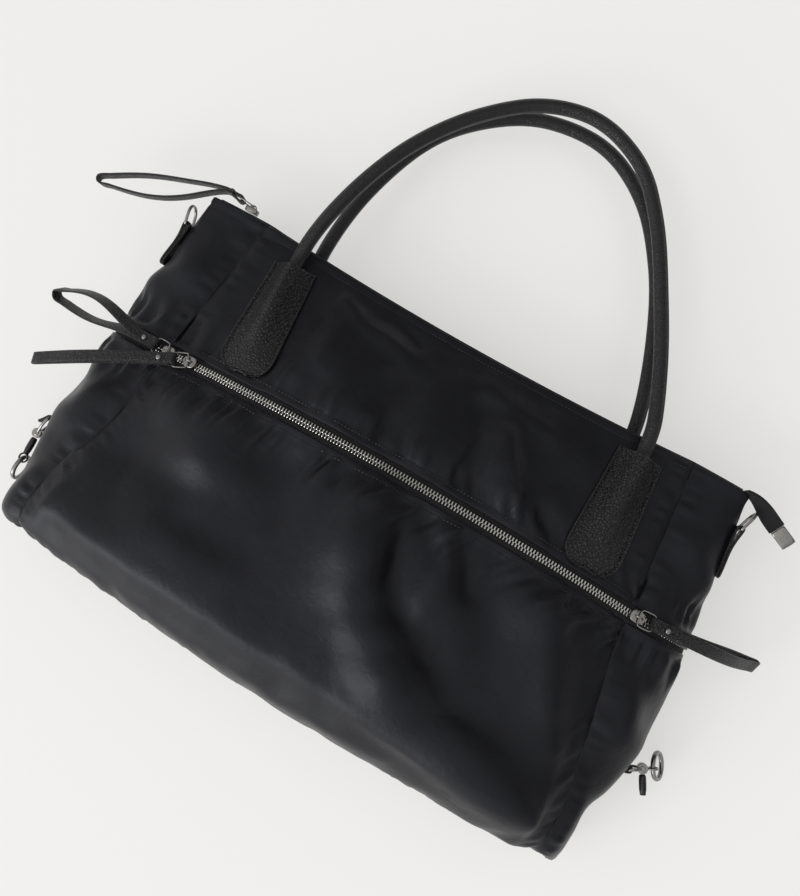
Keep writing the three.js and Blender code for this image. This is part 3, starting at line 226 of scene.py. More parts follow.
def outer_grid(name, start, way, upright=0):
    """The outer side of a panel as rows and columns of points, from the corner farthest towards
    start, with the columns running towards way. upright tells a side that looks up or down."""
    bm = bmesh.new()
    bm.from_mesh(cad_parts[name].data)
    bmesh.ops.remove_doubles(bm, verts=bm.verts, dist=MERGE)
    bm.normal_update()

    def outward(face):
        centre = face.calc_center_median()
        across = max(-HEART.x, min(HEART.x, centre.x))
        core = Vector((across, max(HEART_BASE, min(HEART.y, centre.y)), HEART.z))
        return face.normal.z * upright if upright else face.normal.dot((centre - core).normalized())

    broad = max(bm.faces, key=lambda face: outward(face) * face.calc_area())
    kept = {broad}
    front = [broad]
    while front:
        face = front.pop()
        for edge in face.edges:
            for other in edge.link_faces:
                if other not in kept and other.normal.dot(face.normal) > RIM_TURN:
                    kept.add(other)
                    front.append(other)
    bmesh.ops.delete(bm, geom=[face for face in bm.faces if face not in kept], context="FACES")
    corners = [v for v in bm.verts if v.is_boundary and len(v.link_faces) < 3]
    first = max(corners, key=lambda v: v.co.dot(Vector(start)))

    def walk(vertex, came):
        line = [vertex]
        while True:
            steps = [e.other_vert(vertex) for e in vertex.link_edges if e.is_boundary]
            ahead = [v for v in steps if v is not came]
            came, vertex = vertex, ahead[0]
            line.append(vertex)
            if vertex in corners:
                return line

    ends = [e.other_vert(first) for e in first.link_edges if e.is_boundary]
    lines = [walk(first, ends[1]), walk(first, ends[0])]
    lines.sort(key=lambda line: (line[-1].co - first.co).normalized().dot(Vector(way)), reverse=True)
    grid = [lines[0]]
    for vertex in lines[1][1:]:
        row = [vertex]
        for j in range(1, len(lines[0])):
            near = {e.other_vert(row[-1]) for e in row[-1].link_edges}
            near &= {e.other_vert(grid[-1][j]) for e in grid[-1][j].link_edges}
            near -= {grid[-1][j - 1]}
            row.append(near.pop())
        grid.append(row)
    points = np.array([[v.co[:] for v in row] for row in grid])
    bm.free()
    return points


def along_rows(points, places):
    """A smooth curve through the rows of an array, read at any fractional row numbers."""
    count = len(points)
    ends = np.concatenate([2 * points[:1] - points[1:2], points, 2 * points[-1:] - points[-2:-1]])
    i = np.clip(np.floor(places).astype(int), 0, count - 2)
    t = (places - i).reshape((-1,) + (1,) * (points.ndim - 1))
    a, b, c, d = ends[i], ends[i + 1], ends[i + 2], ends[i + 3]
    bent = (2 * a - 5 * b + 4 * c - d) * t ** 2 + (3 * b - a - 3 * c + d) * t ** 3
    return 0.5 * (2 * b + (c - a) * t + bent)


def resample(grid, rows, columns):
    finer = along_rows(grid, rows)
    return along_rows(finer.swapaxes(0, 1), columns).swapaxes(0, 1)


def grid_normals(grid):
    across = np.gradient(grid, axis=1)
    up = np.gradient(grid, axis=0)
    normals = np.cross(across, up)
    return normals / np.linalg.norm(normals, axis=2, keepdims=True)


def edge_distances(grid):
    """Each point's distance from the first and last column and from the first and last row."""
    across = np.linalg.norm(np.diff(grid, axis=1), axis=2)
    up = np.linalg.norm(np.diff(grid, axis=0), axis=2)
    left = np.pad(np.cumsum(across, axis=1), ((0, 0), (1, 0)))
    foot = np.pad(np.cumsum(up, axis=0), ((1, 0), (0, 0)))
    return left, left[:, -1:] - left, foot, foot[-1:] - foot


def grid_mesh(name, grid):
    rows, columns = grid.shape[:2]
    index = np.arange(rows * columns).reshape(rows, columns)
    quads = np.stack([index[:-1, :-1], index[:-1, 1:], index[1:, 1:], index[1:, :-1]], axis=-1)
    mesh = bpy.data.meshes.new(name)
    mesh.from_pydata(grid.reshape(-1, 3).tolist(), [], quads.reshape(-1, 4).tolist())
    mesh.shade_smooth()
    made = bpy.data.objects.new(name, mesh)
    bpy.context.scene.collection.objects.link(made)
    return made


def store(obj, name, values):
    attribute = obj.data.attributes.new(name, "FLOAT", "POINT")
    attribute.data.foreach_set("value", np.ascontiguousarray(values, np.float32).ravel())


def ripple(values, seed):
    """Smooth uneven waves along a line, between -1 and 1."""
    total = np.zeros_like(values)
    random = np.random.default_rng(seed)
    for pitch, strength in ((0.9, 0.5), (1.7, 0.6), (2.9, 0.35)):
        wander = random.uniform(0, 2 * math.pi)
        total += strength * np.sin(values * pitch + wander + 1.6 * np.sin(0.37 * pitch * values + wander))
    return total


# Folds of the front. Each line of points is in shares of half the bag's width and of its height from
# the base to the top opening; width and rise are in metres. lean below zero makes the fold fall
# faster on the left of its line's way, above zero on the right.
FOLD_COLUMNS = ("line", "width", "rise", "lean")
POCKET_FOLDS = [
    (((0.035, 0.53), (0.060, 0.42), (0.115, 0.33), (0.186, 0.26), (0.295, 0.21), (0.437, 0.165),
      (0.60, 0.11), (0.76, 0.06)), 0.028, 0.0085, -0.35),
    (((0.13, 0.53), (0.19, 0.42), (0.27, 0.34)), 0.012, 0.0035, 0.0),
    (((0.161, 0.54), (0.233, 0.466)), 0.007, -0.0035, 0.0),
    (((0.295, 0.53), (0.365, 0.433)), 0.008, -0.0040, 0.0),
    (((0.58, 0.48), (0.64, 0.34), (0.74, 0.22)), 0.022, 0.0060, -0.3),
    (((-0.119, 0.555), (-0.10, 0.51)), 0.006, -0.0025, 0.0),
    (((-0.479, 0.40), (-0.432, 0.56)), 0.018, 0.0045, 0.0),
    (((-0.48, 0.18), (-0.24, 0.18)), 0.026, 0.0050, 0.0),
    (((-0.235, 0.477), (-0.320, 0.347)), 0.022, -0.0030, 0.0),
    (((-0.90, 0.085), (-0.30, 0.080), (0.30, 0.075), (0.80, 0.06)), 0.018, 0.0080, 0.3),
]
UPPER_FOLDS = [
    (((0.25, 0.80), (0.34, 0.687), (0.43, 0.58)), 0.013, 0.0065, -0.5),
    (((0.15, 0.73), (0.19, 0.61)), 0.011, 0.0042, -0.4),
    (((-0.11, 0.68), (-0.06, 0.61)), 0.008, 0.0030, -0.3),
    (((-0.347, 0.822), (-0.331, 0.732), (-0.391, 0.64)), 0.017, 0.0050, -0.4),
    (((-0.369, 0.916), (-0.286, 0.875), (-0.144, 0.866)), 0.008, 0.0032, 0.0),
    (((-0.211, 0.938), (-0.112, 0.905)), 0.007, -0.0028, 0.0),
    (((0.128, 0.880), (0.346, 0.860)), 0.009, 0.0028, 0.0),
    (((0.437, 0.668), (0.540, 0.607)), 0.008, -0.0035, 0.0),
]
GUSSET_FOLDS = [
    (((-1.0, 0.72), (-1.0, 0.86)), 0.024, 0.0040, 0.0),
    (((1.0, 0.72), (1.0, 0.86)), 0.024, 0.0040, 0.0),
]
BAG_HALF_WIDTH = 0.262
BAG_HEIGHT = 0.300
BAG_MIDDLE = 0.01461
BASE_LINE = -0.23368
FOLD_SHAPE = 1.7  # how flat the top of a fold is


def bag_point(x, y):
    return np.array([BAG_MIDDLE + x * BAG_HALF_WIDTH, BASE_LINE + y * BAG_HEIGHT])


def fold_relief(grid, folds):
    relief = np.zeros(grid.shape[:2])
    for row in folds:
        fold = dict(zip(FOLD_COLUMNS, row))
        line = [bag_point(x, y) for x, y in fold["line"]]
        nearest = np.full(grid.shape[:2], 1.0)
        side = np.zeros(grid.shape[:2])
        for start, end in zip(line, line[1:]):
            away = end - start
            offset = grid[..., :2] - start
            share = np.clip(offset @ away / (away @ away), 0, 1)
            gap = np.linalg.norm(offset - share[..., None] * away, axis=-1)
            left_of = (away[0] * offset[..., 1] - away[1] * offset[..., 0]) / np.linalg.norm(away)
            side = np.where(gap < nearest, left_of / (gap + 0.0005), side)
            nearest = np.minimum(gap, nearest)
        width = fold["width"] * (1 + fold["lean"] * np.clip(side, -1, 1))
        relief += fold["rise"] * np.exp(-(nearest / width) ** FOLD_SHAPE)
    return relief


SIM_STEP = 0.005
SIM_FRAMES = 20
SPARE_CLOTH = 0.012
PIN_EDGE = 0.004
START_NOISE = 0.0004
MOST_MOVE = 0.004
SOFTENING = 3  # rounds of averaging, because thin filled nylon shows no sharp creases


def wrinkled(name, grid, held, seed):
    """Runs a cloth simulation over the grid with spare cloth, pinned at its seams and where held
    is 1, and returns the moved grid."""
    left, right, foot, top = edge_distances(grid)
    edge = np.minimum(np.minimum(left, right), np.minimum(foot, top))
    pin = np.maximum(held, np.clip(1.6 - edge / PIN_EDGE, 0, 1))
    random = np.random.default_rng(seed)
    start = grid + grid_normals(grid) * random.normal(0, START_NOISE, grid.shape[:2])[..., None]
    obj = grid_mesh(name + "_slack", start)
    group = obj.vertex_groups.new(name="pin")
    for index, weight in enumerate(pin.ravel()):
        if weight > 0:
            group.add([index], float(weight), "REPLACE")
    cloth = obj.modifiers.new("Cloth", "CLOTH")
    settings = cloth.settings
    settings.quality = 6
    settings.mass = 0.15
    settings.tension_stiffness = 15
    settings.compression_stiffness = 15
    settings.shear_stiffness = 5
    settings.bending_stiffness = 1.5
    settings.air_damping = 4
    settings.shrink_min = -SPARE_CLOTH
    settings.vertex_group_mass = "pin"
    settings.use_pressure = True
    settings.uniform_pressure_force = 0.4
    settings.effector_weights.gravity = 0
    cloth.point_cache.frame_end = SIM_FRAMES
    scene = bpy.context.scene
    for number in range(1, SIM_FRAMES + 1):
        scene.frame_set(number)
    evaluated = obj.evaluated_get(bpy.context.evaluated_depsgraph_get())
    moved = np.empty(grid.size)
    evaluated.data.vertices.foreach_get("co", moved)
    moved = moved.reshape(grid.shape)
    scene.frame_set(1)
    bpy.data.objects.remove(obj)
    change = moved - grid
    for step in range(SOFTENING):
        padded = np.pad(change, ((1, 1), (1, 1), (0, 0)), mode="edge")
        beside = padded[:-2, 1:-1] + padded[2:, 1:-1] + padded[1:-1, :-2] + padded[1:-1, 2:]
        change = (2 * change + beside) / 6
    size = np.linalg.norm(change, axis=2, keepdims=True)
    return grid + change * (MOST_MOVE * np.tanh(size / MOST_MOVE) / np.maximum(size, 1e-9))


def fine_places(count):
    """Fractional row numbers: half steps, with finer ones near both ends."""
    ends = np.array([0.02, 0.05, 0.09, 0.14, 0.2, 0.27, 0.35, 0.45])
    places = np.concatenate([np.arange(0, count - 0.75, 0.5), ends, count - 1 - ends])
    return np.unique(np.round(np.clip(places, 0, count - 1), 3))


REST_GAP = 0.0004
SEAM_DEPTH = 0.0014
SEAM_REACH = 0.0035
SEAM_CLOSE = 0.0012
ZIP_COVER = 0.0015
ZIP_CURL = 0.0009
LIP_STEPS = ((0.0006, 0.0), (0.0012, -0.0002), (0.0016, -0.0009), (0.0017, -0.0022))
HEM_WIDTH = 0.0055
HEM_RISE = 0.0005
HEM_GROOVE = 0.0008
HEM_STEP = 0.0004
PUCKER_REACH = 0.014
PUCKER_RISE = 0.0022
PUCKER_PLACE = 0.012
PUCKER_PITCH = 0.0042
PUCKER_START = 0.004
SEAM_PITCH = 0.0036
SEAM_GATHER = 0.45  # the gathers beside a sewn seam, as a share of those beside a zip
GATHER_PLACE = 0.006
GATHER_REACH = 0.007
CALM_REACH = 0.02  # the folds fade out over this distance from the seams
PATCH_REACH = 0.014
PATCH_MARGIN = 0.002

PANEL_COLUMNS = ("name", "start", "way", "zip_edge", "hem_edge", "folds", "seed")
PANELS = [
    ("front_pocket_panel", (-1, -1, 0), (1, 0, 0), "top", "", POCKET_FOLDS, 3),
    ("front_upper_panel", (-1, -1, 0), (1, 0, 0), "foot", "top", UPPER_FOLDS, 7),
    ("right_lower_gusset", (0, -1, 1), (0, 0, -1), "top", "", [], 11),
    ("right_upper_gusset", (0, -1, 1), (0, 0, -1), "foot", "top", GUSSET_FOLDS, 13),
    ("left_lower_gusset", (0, -1, -1), (0, 0, 1), "top", "", [], 17),
    ("left_upper_gusset", (0, -1, -1), (0, 0, 1), "foot", "top", GUSSET_FOLDS, 19),
    ("back_panel", (1, -1, 0), (-1, 0, 0), "", "top", [], 23),
    ("base_panel", (-1, 0, -1), (1, 0, 0), "", "", [], 29),
]


SAME_SIDE = 0.05


def patch_distance(grid):
    """Each point's distance from the leather patches, which keep the cloth under them from moving."""
    nearest = np.full(grid.shape[:2], 1.0)
    for name in ("front_patch_left", "front_patch_right", "back_patch_left", "back_patch_right"):
        least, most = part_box(name)
        if abs((least.z + most.z) / 2 - grid[..., 2].mean()) < SAME_SIDE:
            below = np.array(least[:2]) - grid[..., :2]
            outside = np.maximum(below, grid[..., :2] - np.array(most[:2]))
            nearest = np.minimum(nearest, np.linalg.norm(np.maximum(outside, 0), axis=-1))
    return nearest


def closed_seams(panel, grid):
    """Carries the sewn edges out to the neighbouring panel and adds the lip over the top zip."""
    grid = grid.copy()
    ends = {"left": (0, 1, 1), "right": (-1, -2, 1), "foot": (0, 1, 0), "top": (-1, -2, 0)}
    for edge, (last, before, axis) in ends.items():
        if edge == panel["hem_edge"]:
            continue
        view = grid if axis == 0 else grid.swapaxes(0, 1)
        if edge == panel["zip_edge"]:
            out = grid_normals(grid)[last]
            step = view[last] - view[3 * before - 2 * last]
            view[last] += step / np.linalg.norm(step, axis=-1, keepdims=True) * ZIP_COVER - out * ZIP_CURL
            continue
        step = view[last] - view[before]
        view[last] += step / np.linalg.norm(step, axis=-1, keepdims=True) * SEAM_CLOSE
    if panel["hem_edge"]:
        normals = grid_normals(grid)[-1]
        step = grid[-1] - grid[-3]
        step /= np.linalg.norm(step, axis=-1, keepdims=True)
        lip = [grid[-1] + step * out + normals * rise for out, rise in LIP_STEPS]
        grid = np.concatenate([grid, np.array(lip)])
    return grid


STITCH = Vector((0.0021, 0.00055, 0.0004))
STITCH_PITCH = 0.0029
thread_parts = {}


def stitch_line(name, path, normals):
    """Adds short thread stitches along a line of points to the named seam."""
    length = np.concatenate([[0], np.cumsum(np.linalg.norm(np.diff(path, axis=0), axis=1))])
    wanted = np.arange(STITCH_PITCH, length[-1] - STITCH_PITCH, STITCH_PITCH)
    at = np.stack([np.interp(wanted, length, path[:, k]) for k in range(3)], axis=1)
    out = np.stack([np.interp(wanted, length, normals[:, k]) for k in range(3)], axis=1)
    ahead = np.gradient(at, axis=0)
    ahead /= np.linalg.norm(ahead, axis=1, keepdims=True)
    side = np.cross(out, ahead)
    corners = [(-0.5, 0, 0), (-0.25, 0.5, 0), (0.25, 0.5, 0), (0.5, 0, 0), (0.25, -0.5, 0),
               (-0.25, -0.5, 0), (-0.22, 0, 1), (0.22, 0, 1)]
    faces = [(0, 1, 6), (1, 2, 7, 6), (2, 3, 7), (3, 4, 7), (4, 5, 6, 7), (5, 0, 6)]
    vertices, polygons = thread_parts.setdefault(name, ([], []))
    for place, forward, over, up in zip(at, ahead, side, out):
        base = len(vertices)
        for u, v, w in corners:
            vertices.append(tuple(place + forward * u * STITCH.x + over * v * STITCH.y + up * w * STITCH.z))
        polygons.extend([[base + i for i in face] for face in faces])


def stitch_rows(panel, grid):
    normals = grid_normals(grid)
    left, right, foot, top = edge_distances(grid)
    for edge, distance in (("foot", foot), ("top", top)):
        if edge not in (panel["zip_edge"], panel["hem_edge"]) or not panel["name"].startswith("front"):
            continue
        order = slice(None) if edge == "foot" else slice(None, None, -1)
        lines = []
        for values in (grid, normals):
            columns = [[np.interp(HEM_WIDTH, distance[order, j], values[order, j, k]) for k in range(3)]
                       for j in range(grid.shape[1])]
            lines.append(np.array(columns))
        path, out = lines
        stitch_line("cloth", path + 0.0002 * out, out)


for row in PANELS:
    panel = dict(zip(PANEL_COLUMNS, row))
    coarse = outer_grid(panel["name"], panel["start"], panel["way"])
    sizes = [len(coarse), coarse.shape[1]]
    span = [np.linalg.norm(np.diff(coarse, axis=k), axis=2).mean() for k in (0, 1)]
    steps = [round(s / SIM_STEP) for s in span]
    rows = np.linspace(0, sizes[0] - 1, (sizes[0] - 1) * steps[0] + 1)
    columns = np.linspace(0, sizes[1] - 1, (sizes[1] - 1) * steps[1] + 1)
    grid = resample(coarse, rows, columns)
    left, right, foot, top = edge_distances(grid)
    calm = np.clip(np.minimum(np.minimum(left, right), np.minimum(foot, top)) / CALM_REACH, 0, 1)
    from_patch = patch_distance(grid)
    hold = (from_patch < PATCH_MARGIN).astype(float)
    calm *= np.clip(from_patch / PATCH_REACH, 0, 1)
    grid = grid + grid_normals(grid) * (calm * fold_relief(grid, panel["folds"]))[..., None]
    grid = wrinkled(panel["name"], grid, hold, panel["seed"])
    grid = resample(grid, fine_places(len(grid)), fine_places(grid.shape[1]))
    left, right, foot, top = edge_distances(grid)
    edges = {"left": (left, foot), "right": (right, foot), "foot": (foot, left), "top": (top, left)}
    offset = np.zeros(grid.shape[:2])
    for edge, (distance, line) in edges.items():
        if edge in (panel["zip_edge"], panel["hem_edge"]):
            hem = 1 / (1 + np.exp((np.minimum(distance, 3 * HEM_WIDTH) - HEM_WIDTH) / HEM_STEP))
            offset += HEM_RISE * hem
            offset -= HEM_GROOVE * np.exp(-((distance - HEM_WIDTH) / (2 * HEM_STEP)) ** 2)
        if edge == panel["zip_edge"]:
            waves = ripple(line / PUCKER_PITCH, panel["seed"])
            fade = np.exp(-((distance - PUCKER_PLACE) / PUCKER_REACH) ** 2)
            fade *= np.clip((distance - 0.6 * HEM_WIDTH) / PUCKER_START, 0, 1)
            offset += PUCKER_RISE * waves * fade
            offset -= HEM_RISE * np.exp(-distance / HEM_RISE)
        elif edge != panel["hem_edge"]:
            waves = ripple(line / SEAM_PITCH, panel["seed"] + 1)
            offset -= SEAM_DEPTH * np.exp(-(distance / SEAM_REACH) ** 1.3) * (1 + 0.3 * waves)
            gather = np.exp(-((distance - GATHER_PLACE) / GATHER_REACH) ** 2)
            offset += SEAM_GATHER * PUCKER_RISE * waves * gather
    clear = np.clip(patch_distance(grid) / GATHER_PLACE - 0.4, 0, 1)
    offset = np.where(offset > 0, offset * clear, offset)
    grid = grid + grid_normals(grid) * offset[..., None]
    grid[..., 2] = np.maximum(grid[..., 2], low.z + REST_GAP)
    stitch_rows(panel, grid)
    sheet = grid_mesh("cloth_" + panel["name"], closed_seams(panel, grid))
    wall = sheet.modifiers.new("Wall", "SOLIDIFY")
    wall.thickness = CLOTH_WALL
    wall.offset = -1
    sheet.data.materials.append(nylon)
    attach(sheet, "bag")
    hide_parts(panel["name"])

# Zips
# Two-row metal zips with bright interlocked teeth on a dark woven tape.

tape, tree, shader = new_material("zip_tape")
weave = use_group(tree, weave_group, Thread=0.0007, Depth=0.6)
tree.links.new(mixed_colour(tree, weave.outputs["Mottle"], (0.005, 0.005, 0.006), (0.011, 0.011, 0.013)),
               shader.inputs["Base Color"])
tree.links.new(weave.outputs["Normal"], shader.inputs["Normal"])
shader.inputs["Roughness"].default_value = 0.75
shader.inputs["Specular IOR Level"].default_value = 0.3

gunmetal, tree, shader = new_material("gunmetal")
place = node(tree, "ShaderNodeTexCoord")
smudge = node(tree, "ShaderNodeTexNoise", Scale=400, Detail=4)
tree.links.new(place.outputs["Object"], smudge.inputs["Vector"])
tree.links.new(mixed_colour(tree, smudge.outputs["Fac"], (0.17, 0.165, 0.158), (0.30, 0.29, 0.28)),
               shader.inputs["Base Color"])
tree.links.new(mapped(tree, smudge.outputs["Fac"], 0.18, 0.34), shader.inputs["Roughness"])
shader.inputs["Metallic"].default_value = 1.0

tooth_metal, tree, shader = new_material("zip_chain")
place = node(tree, "ShaderNodeTexCoord")
smudge = node(tree, "ShaderNodeTexNoise", Scale=600, Detail=4)
tree.links.new(place.outputs["Object"], smudge.inputs["Vector"])
tree.links.new(mixed_colour(tree, smudge.outputs["Fac"], (0.26, 0.256, 0.245), (0.54, 0.53, 0.51)),
               shader.inputs["Base Color"])
tree.links.new(mapped(tree, smudge.outputs["Fac"], 0.16, 0.30), shader.inputs["Roughness"])
shader.inputs["Metallic"].default_value = 1.0

TOOTH_PITCH = 0.0025
TOOTH = Vector((0.00125, 0.0031, 0.0018))
TOOTH_SHIFT = 0.00135


def tooth_shape():
    bm = bmesh.new()
    bmesh.ops.create_cube(bm, size=1)
    bmesh.ops.scale(bm, vec=TOOTH, verts=bm.verts)
    bmesh.ops.bevel(bm, geom=bm.edges[:], offset=0.0003, segments=1, affect="EDGES")
    points = np.array([v.co[:] for v in bm.verts])
    faces = [[v.index for v in f.verts] for f in bm.faces]
    bm.free()
    return points, faces


def even_strip(grid, pitch):
    """The middle line of a two-row strip at an even pitch: places, ways along, across and out."""
    middle = grid.mean(axis=0)
    fine = along_rows(middle, np.linspace(0, len(middle) - 1, 40 * len(middle)))
    length = np.concatenate([[0], np.cumsum(np.linalg.norm(np.diff(fine, axis=0), axis=1))])
    wanted = np.arange(pitch / 2, length[-1], pitch)
    at = np.stack([np.interp(wanted, length, fine[:, k]) for k in range(3)], axis=1)
    along = np.gradient(at, axis=0)
    along /= np.linalg.norm(along, axis=1, keepdims=True)
    rail = grid[1] - grid[0]
    fine_rail = along_rows(rail, np.linspace(0, len(rail) - 1, 40 * len(rail)))
    across = np.stack([np.interp(wanted, length, fine_rail[:, k]) for k in range(3)], axis=1)
    across -= along * np.sum(across * along, axis=1, keepdims=True)
    across /= np.linalg.norm(across, axis=1, keepdims=True)
    return at, along, across, np.cross(along, across)


def zip_teeth(name, grid):
    shape, faces = tooth_shape()
    at, along, across, out = even_strip(grid, TOOTH_PITCH / 2)
    vertices = []
    polygons = []
    for k in range(len(at)):
        side = 1 if k % 2 else -1
        centre = at[k] + across[k] * side * TOOTH_SHIFT - out[k] * TOOTH.z / 2
        base = len(vertices)
        axes = np.stack([along[k], across[k], out[k]])
        vertices.extend((centre + shape @ axes).tolist())
        polygons.extend([[base + i for i in face] for face in faces])
    mesh = bpy.data.meshes.new(name)
    mesh.from_pydata(vertices, [], polygons)
    made = bpy.data.objects.new(name, mesh)
    bpy.context.scene.collection.objects.link(made)
    made.data.materials.append(tooth_metal)
    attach(made, "bag")
    return made


TAPE_WING = 0.0045
TAPE_DIP = 0.0022
ZIPS = [
    ("front_zip", (0, -1, -1), (0, 0, 1), 0.0),
    ("top_zip", (-1, 0, -1), (1, 0, 0), 0.0040),
]
for zip_name, start, way, sunk in ZIPS:
    chain = outer_grid(zip_name + "_chain", start, way)
    if len(chain) != 2:
        chain = chain.swapaxes(0, 1)
    chain[..., 1] -= sunk
    teeth = zip_teeth(zip_name + "_teeth", chain)
    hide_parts(zip_name + "_chain")
    band = outer_grid(zip_name + "_tape", start, way)
    if len(band) != 2:
        band = band.swapaxes(0, 1)
    band = resample(band, np.linspace(0, 1, 9), np.linspace(0, band.shape[1] - 1, band.shape[1] * 6))
    band[..., 1] -= sunk
    out = grid_normals(band)
    out *= np.sign(out[..., 1:].sum())
    wings = []
    for edge, inner in ((0, 1), (-1, -2)):
        step = band[edge] - band[inner]
        wings.append(band[edge] + step / np.linalg.norm(step, axis=-1, keepdims=True) * TAPE_WING
                     - out[edge] * TAPE_DIP)
    band = np.concatenate([wings[0][None], band, wings[1][None]])
    ribbon = grid_mesh(zip_name + "_ribbon", band)
    wall = ribbon.modifiers.new("Wall", "SOLIDIFY")
    wall.thickness = 0.0008
    ribbon.data.materials.append(tape)
    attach(ribbon, "bag")
    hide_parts(zip_name + "_tape")

# Leather patches
# Four black patches of pebbled leather, square at the top and round at the foot, hold the handles.
# A stitched groove and a raised edge run round each one; the edge's paint is lighter than the leather, as a
# painted highlight.


def leather_material(name, size, depth, light):
    material, tree, shader = new_material(name)
    grain = use_group(tree, grain_group, Size=size, Depth=depth)
    # Painted highlight: edges and seam ridges take a lighter colour that stands in for light catching them.
    painted_highlight = node(tree, "ShaderNodeAttribute", attribute_name="painted_highlight")
    # The creases between the pebbles are painted darker than the pebble tops: painted shade. The same Crease
    # mask also sets the roughness.
    grain_with_crease_shade = mixed_colour(tree, grain.outputs["Crease"], (0.0020, 0.0020, 0.0024), light)
    highlight_mix = node(tree, "ShaderNodeMix", data_type="RGBA")
    highlight_mix.inputs["B"].default_value = (0.013, 0.013, 0.015, 1)
    tree.links.new(grain_with_crease_shade, highlight_mix.inputs["A"])
    tree.links.new(painted_highlight.outputs["Fac"], highlight_mix.inputs["Factor"])
    tree.links.new(highlight_mix.outputs["Result"], shader.inputs["Base Color"])
    tree.links.new(mapped(tree, grain.outputs["Crease"], 0.55, 0.24), shader.inputs["Roughness"])
    tree.links.new(grain.outputs["Normal"], shader.inputs["Normal"])
    shader.inputs["Specular IOR Level"].default_value = 0.36
    return material


patch_leather = leather_material("leather_patch", PEBBLE_SIZE, 0.75, (0.0052, 0.0053, 0.0062))


PATCH_WALL = 0.0019
EDGE_DROP = 0.0006
EDGE_ROUND = 0.0003
PATCHES = [
    ("front_patch_left", (-1, -1, 0), (1, 0, 0), 1), ("front_patch_right", (-1, -1, 0), (1, 0, 0), 1),
    ("back_patch_left", (1, -1, 0), (-1, 0, 0), -1), ("back_patch_right", (1, -1, 0), (-1, 0, 0), -1),
]
BEAD_PLACE, BEAD_WIDTH, BEAD_RISE = 0.0011, 0.0007, 0.00045
GROOVE_PLACE, GROOVE_WIDTH, GROOVE_DEPTH = 0.0031, 0.0009, 0.00055


def inset_path(grid, inset):
    """Points and normals at a distance inside the left, foot and right edges of a grid."""
    normals = grid_normals(grid)
    left, right, foot, top = edge_distances(grid)
    picks = []
    start = int(np.abs(foot[:, 0] - 0.5 * inset).argmin())
    for i in range(len(grid) - 2, start, -1):
        picks.append((i, int(np.abs(left[i] - inset).argmin())))
    columns = [pick[1] for pick in picks]
    row = int(np.abs(foot[:, grid.shape[1] // 2] - inset).argmin())
    picks += [(row, j) for j in range(columns[-1], grid.shape[1] - columns[-1])]
    for i in range(start + 1, len(grid) - 1):
        picks.append((i, int(np.abs(right[i] - inset).argmin())))
    rows, columns = np.array(picks).T
    return grid[rows, columns], normals[rows, columns]


for name, start, way, outwards in PATCHES:
    coarse = outer_grid(name, start, way, outwards)
    rows = np.linspace(0, len(coarse) - 1, 90)
    columns = np.linspace(0, coarse.shape[1] - 1, 81)
    grid = resample(coarse, rows, columns)
    left, right, foot, top = edge_distances(grid)
    edge = np.minimum(np.minimum(left, right), foot)
    relief = BEAD_RISE * np.exp(-((edge - BEAD_PLACE) / BEAD_WIDTH) ** 2)
    relief -= GROOVE_DEPTH * np.exp(-((edge - GROOVE_PLACE) / GROOVE_WIDTH) ** 2)
    relief -= EDGE_DROP * np.exp(-edge / EDGE_ROUND)
    grid = grid + grid_normals(grid) * relief[..., None]
    stitch_line("leather", *inset_path(grid, GROOVE_PLACE))
    patch = grid_mesh("leather_" + name, grid)
    # The bead and the top edge of each patch carry the painted highlight.
    near_edge = np.exp(-((edge - BEAD_PLACE) / (0.8 * BEAD_WIDTH)) ** 2)
    store(patch, "painted_highlight", np.maximum(near_edge, np.clip(1 - top / 0.0009, 0, 1)))
    wall = patch.modifiers.new("Wall", "SOLIDIFY")
    wall.thickness = PATCH_WALL
    wall.offset = -1
    patch.data.materials.append(patch_leather)
    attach(patch, "bag")
    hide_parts(name)

# Handles
# Two rolled leather handles. Each is round, with two raised seam lines along its upper side.

handle_leather = leather_material("leather_handle", 0.7 * PEBBLE_SIZE, 0.5, (0.0052, 0.0053, 0.0062))
HANDLE_RADIUS = 0.0055
FRAME_SIDES = 8  # the corners of the frame's own handle section
HANDLE_SIDES = 40
HANDLE_STEPS = 230
RIDGES = (math.radians(68), math.radians(-68))
RIDGE_RISE = 0.00042
RIDGE_WIDTH = 0.11
CAP_ROUND = 1.3


def ring_centres(name, sides):
    """The centre of each ring of a swept round solid, from one cap to the other."""
    bm = bmesh.new()
    bm.from_mesh(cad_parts[name].data)
    bmesh.ops.remove_doubles(bm, verts=bm.verts, dist=MERGE)
    bm.normal_update()
    bm.verts.index_update()
    layer = None
    for first in bm.faces:
        flat = [first]
        for face in flat:
            for edge in face.edges:
                flat += [other for other in edge.link_faces
                         if other not in flat and other.normal.dot(first.normal) > 0.9995]
        around = sorted({v for face in flat for v in face.verts}, key=lambda v: v.index)
        points = np.array([v.co[:] for v in around])
        reach = np.linalg.norm(points - points.mean(axis=0), axis=1)
        if len(around) == sides and reach.max() < CAP_ROUND * reach.min():
            layer = around
            break
    centres = []
    seen = set(layer)
    while layer:
        centres.append(np.mean([v.co[:] for v in layer], axis=0))
        ahead = {e.other_vert(v) for v in layer for e in v.link_edges} - seen
        seen |= ahead
        layer = sorted(ahead, key=lambda v: v.index)
    bm.free()
    return np.array(centres)


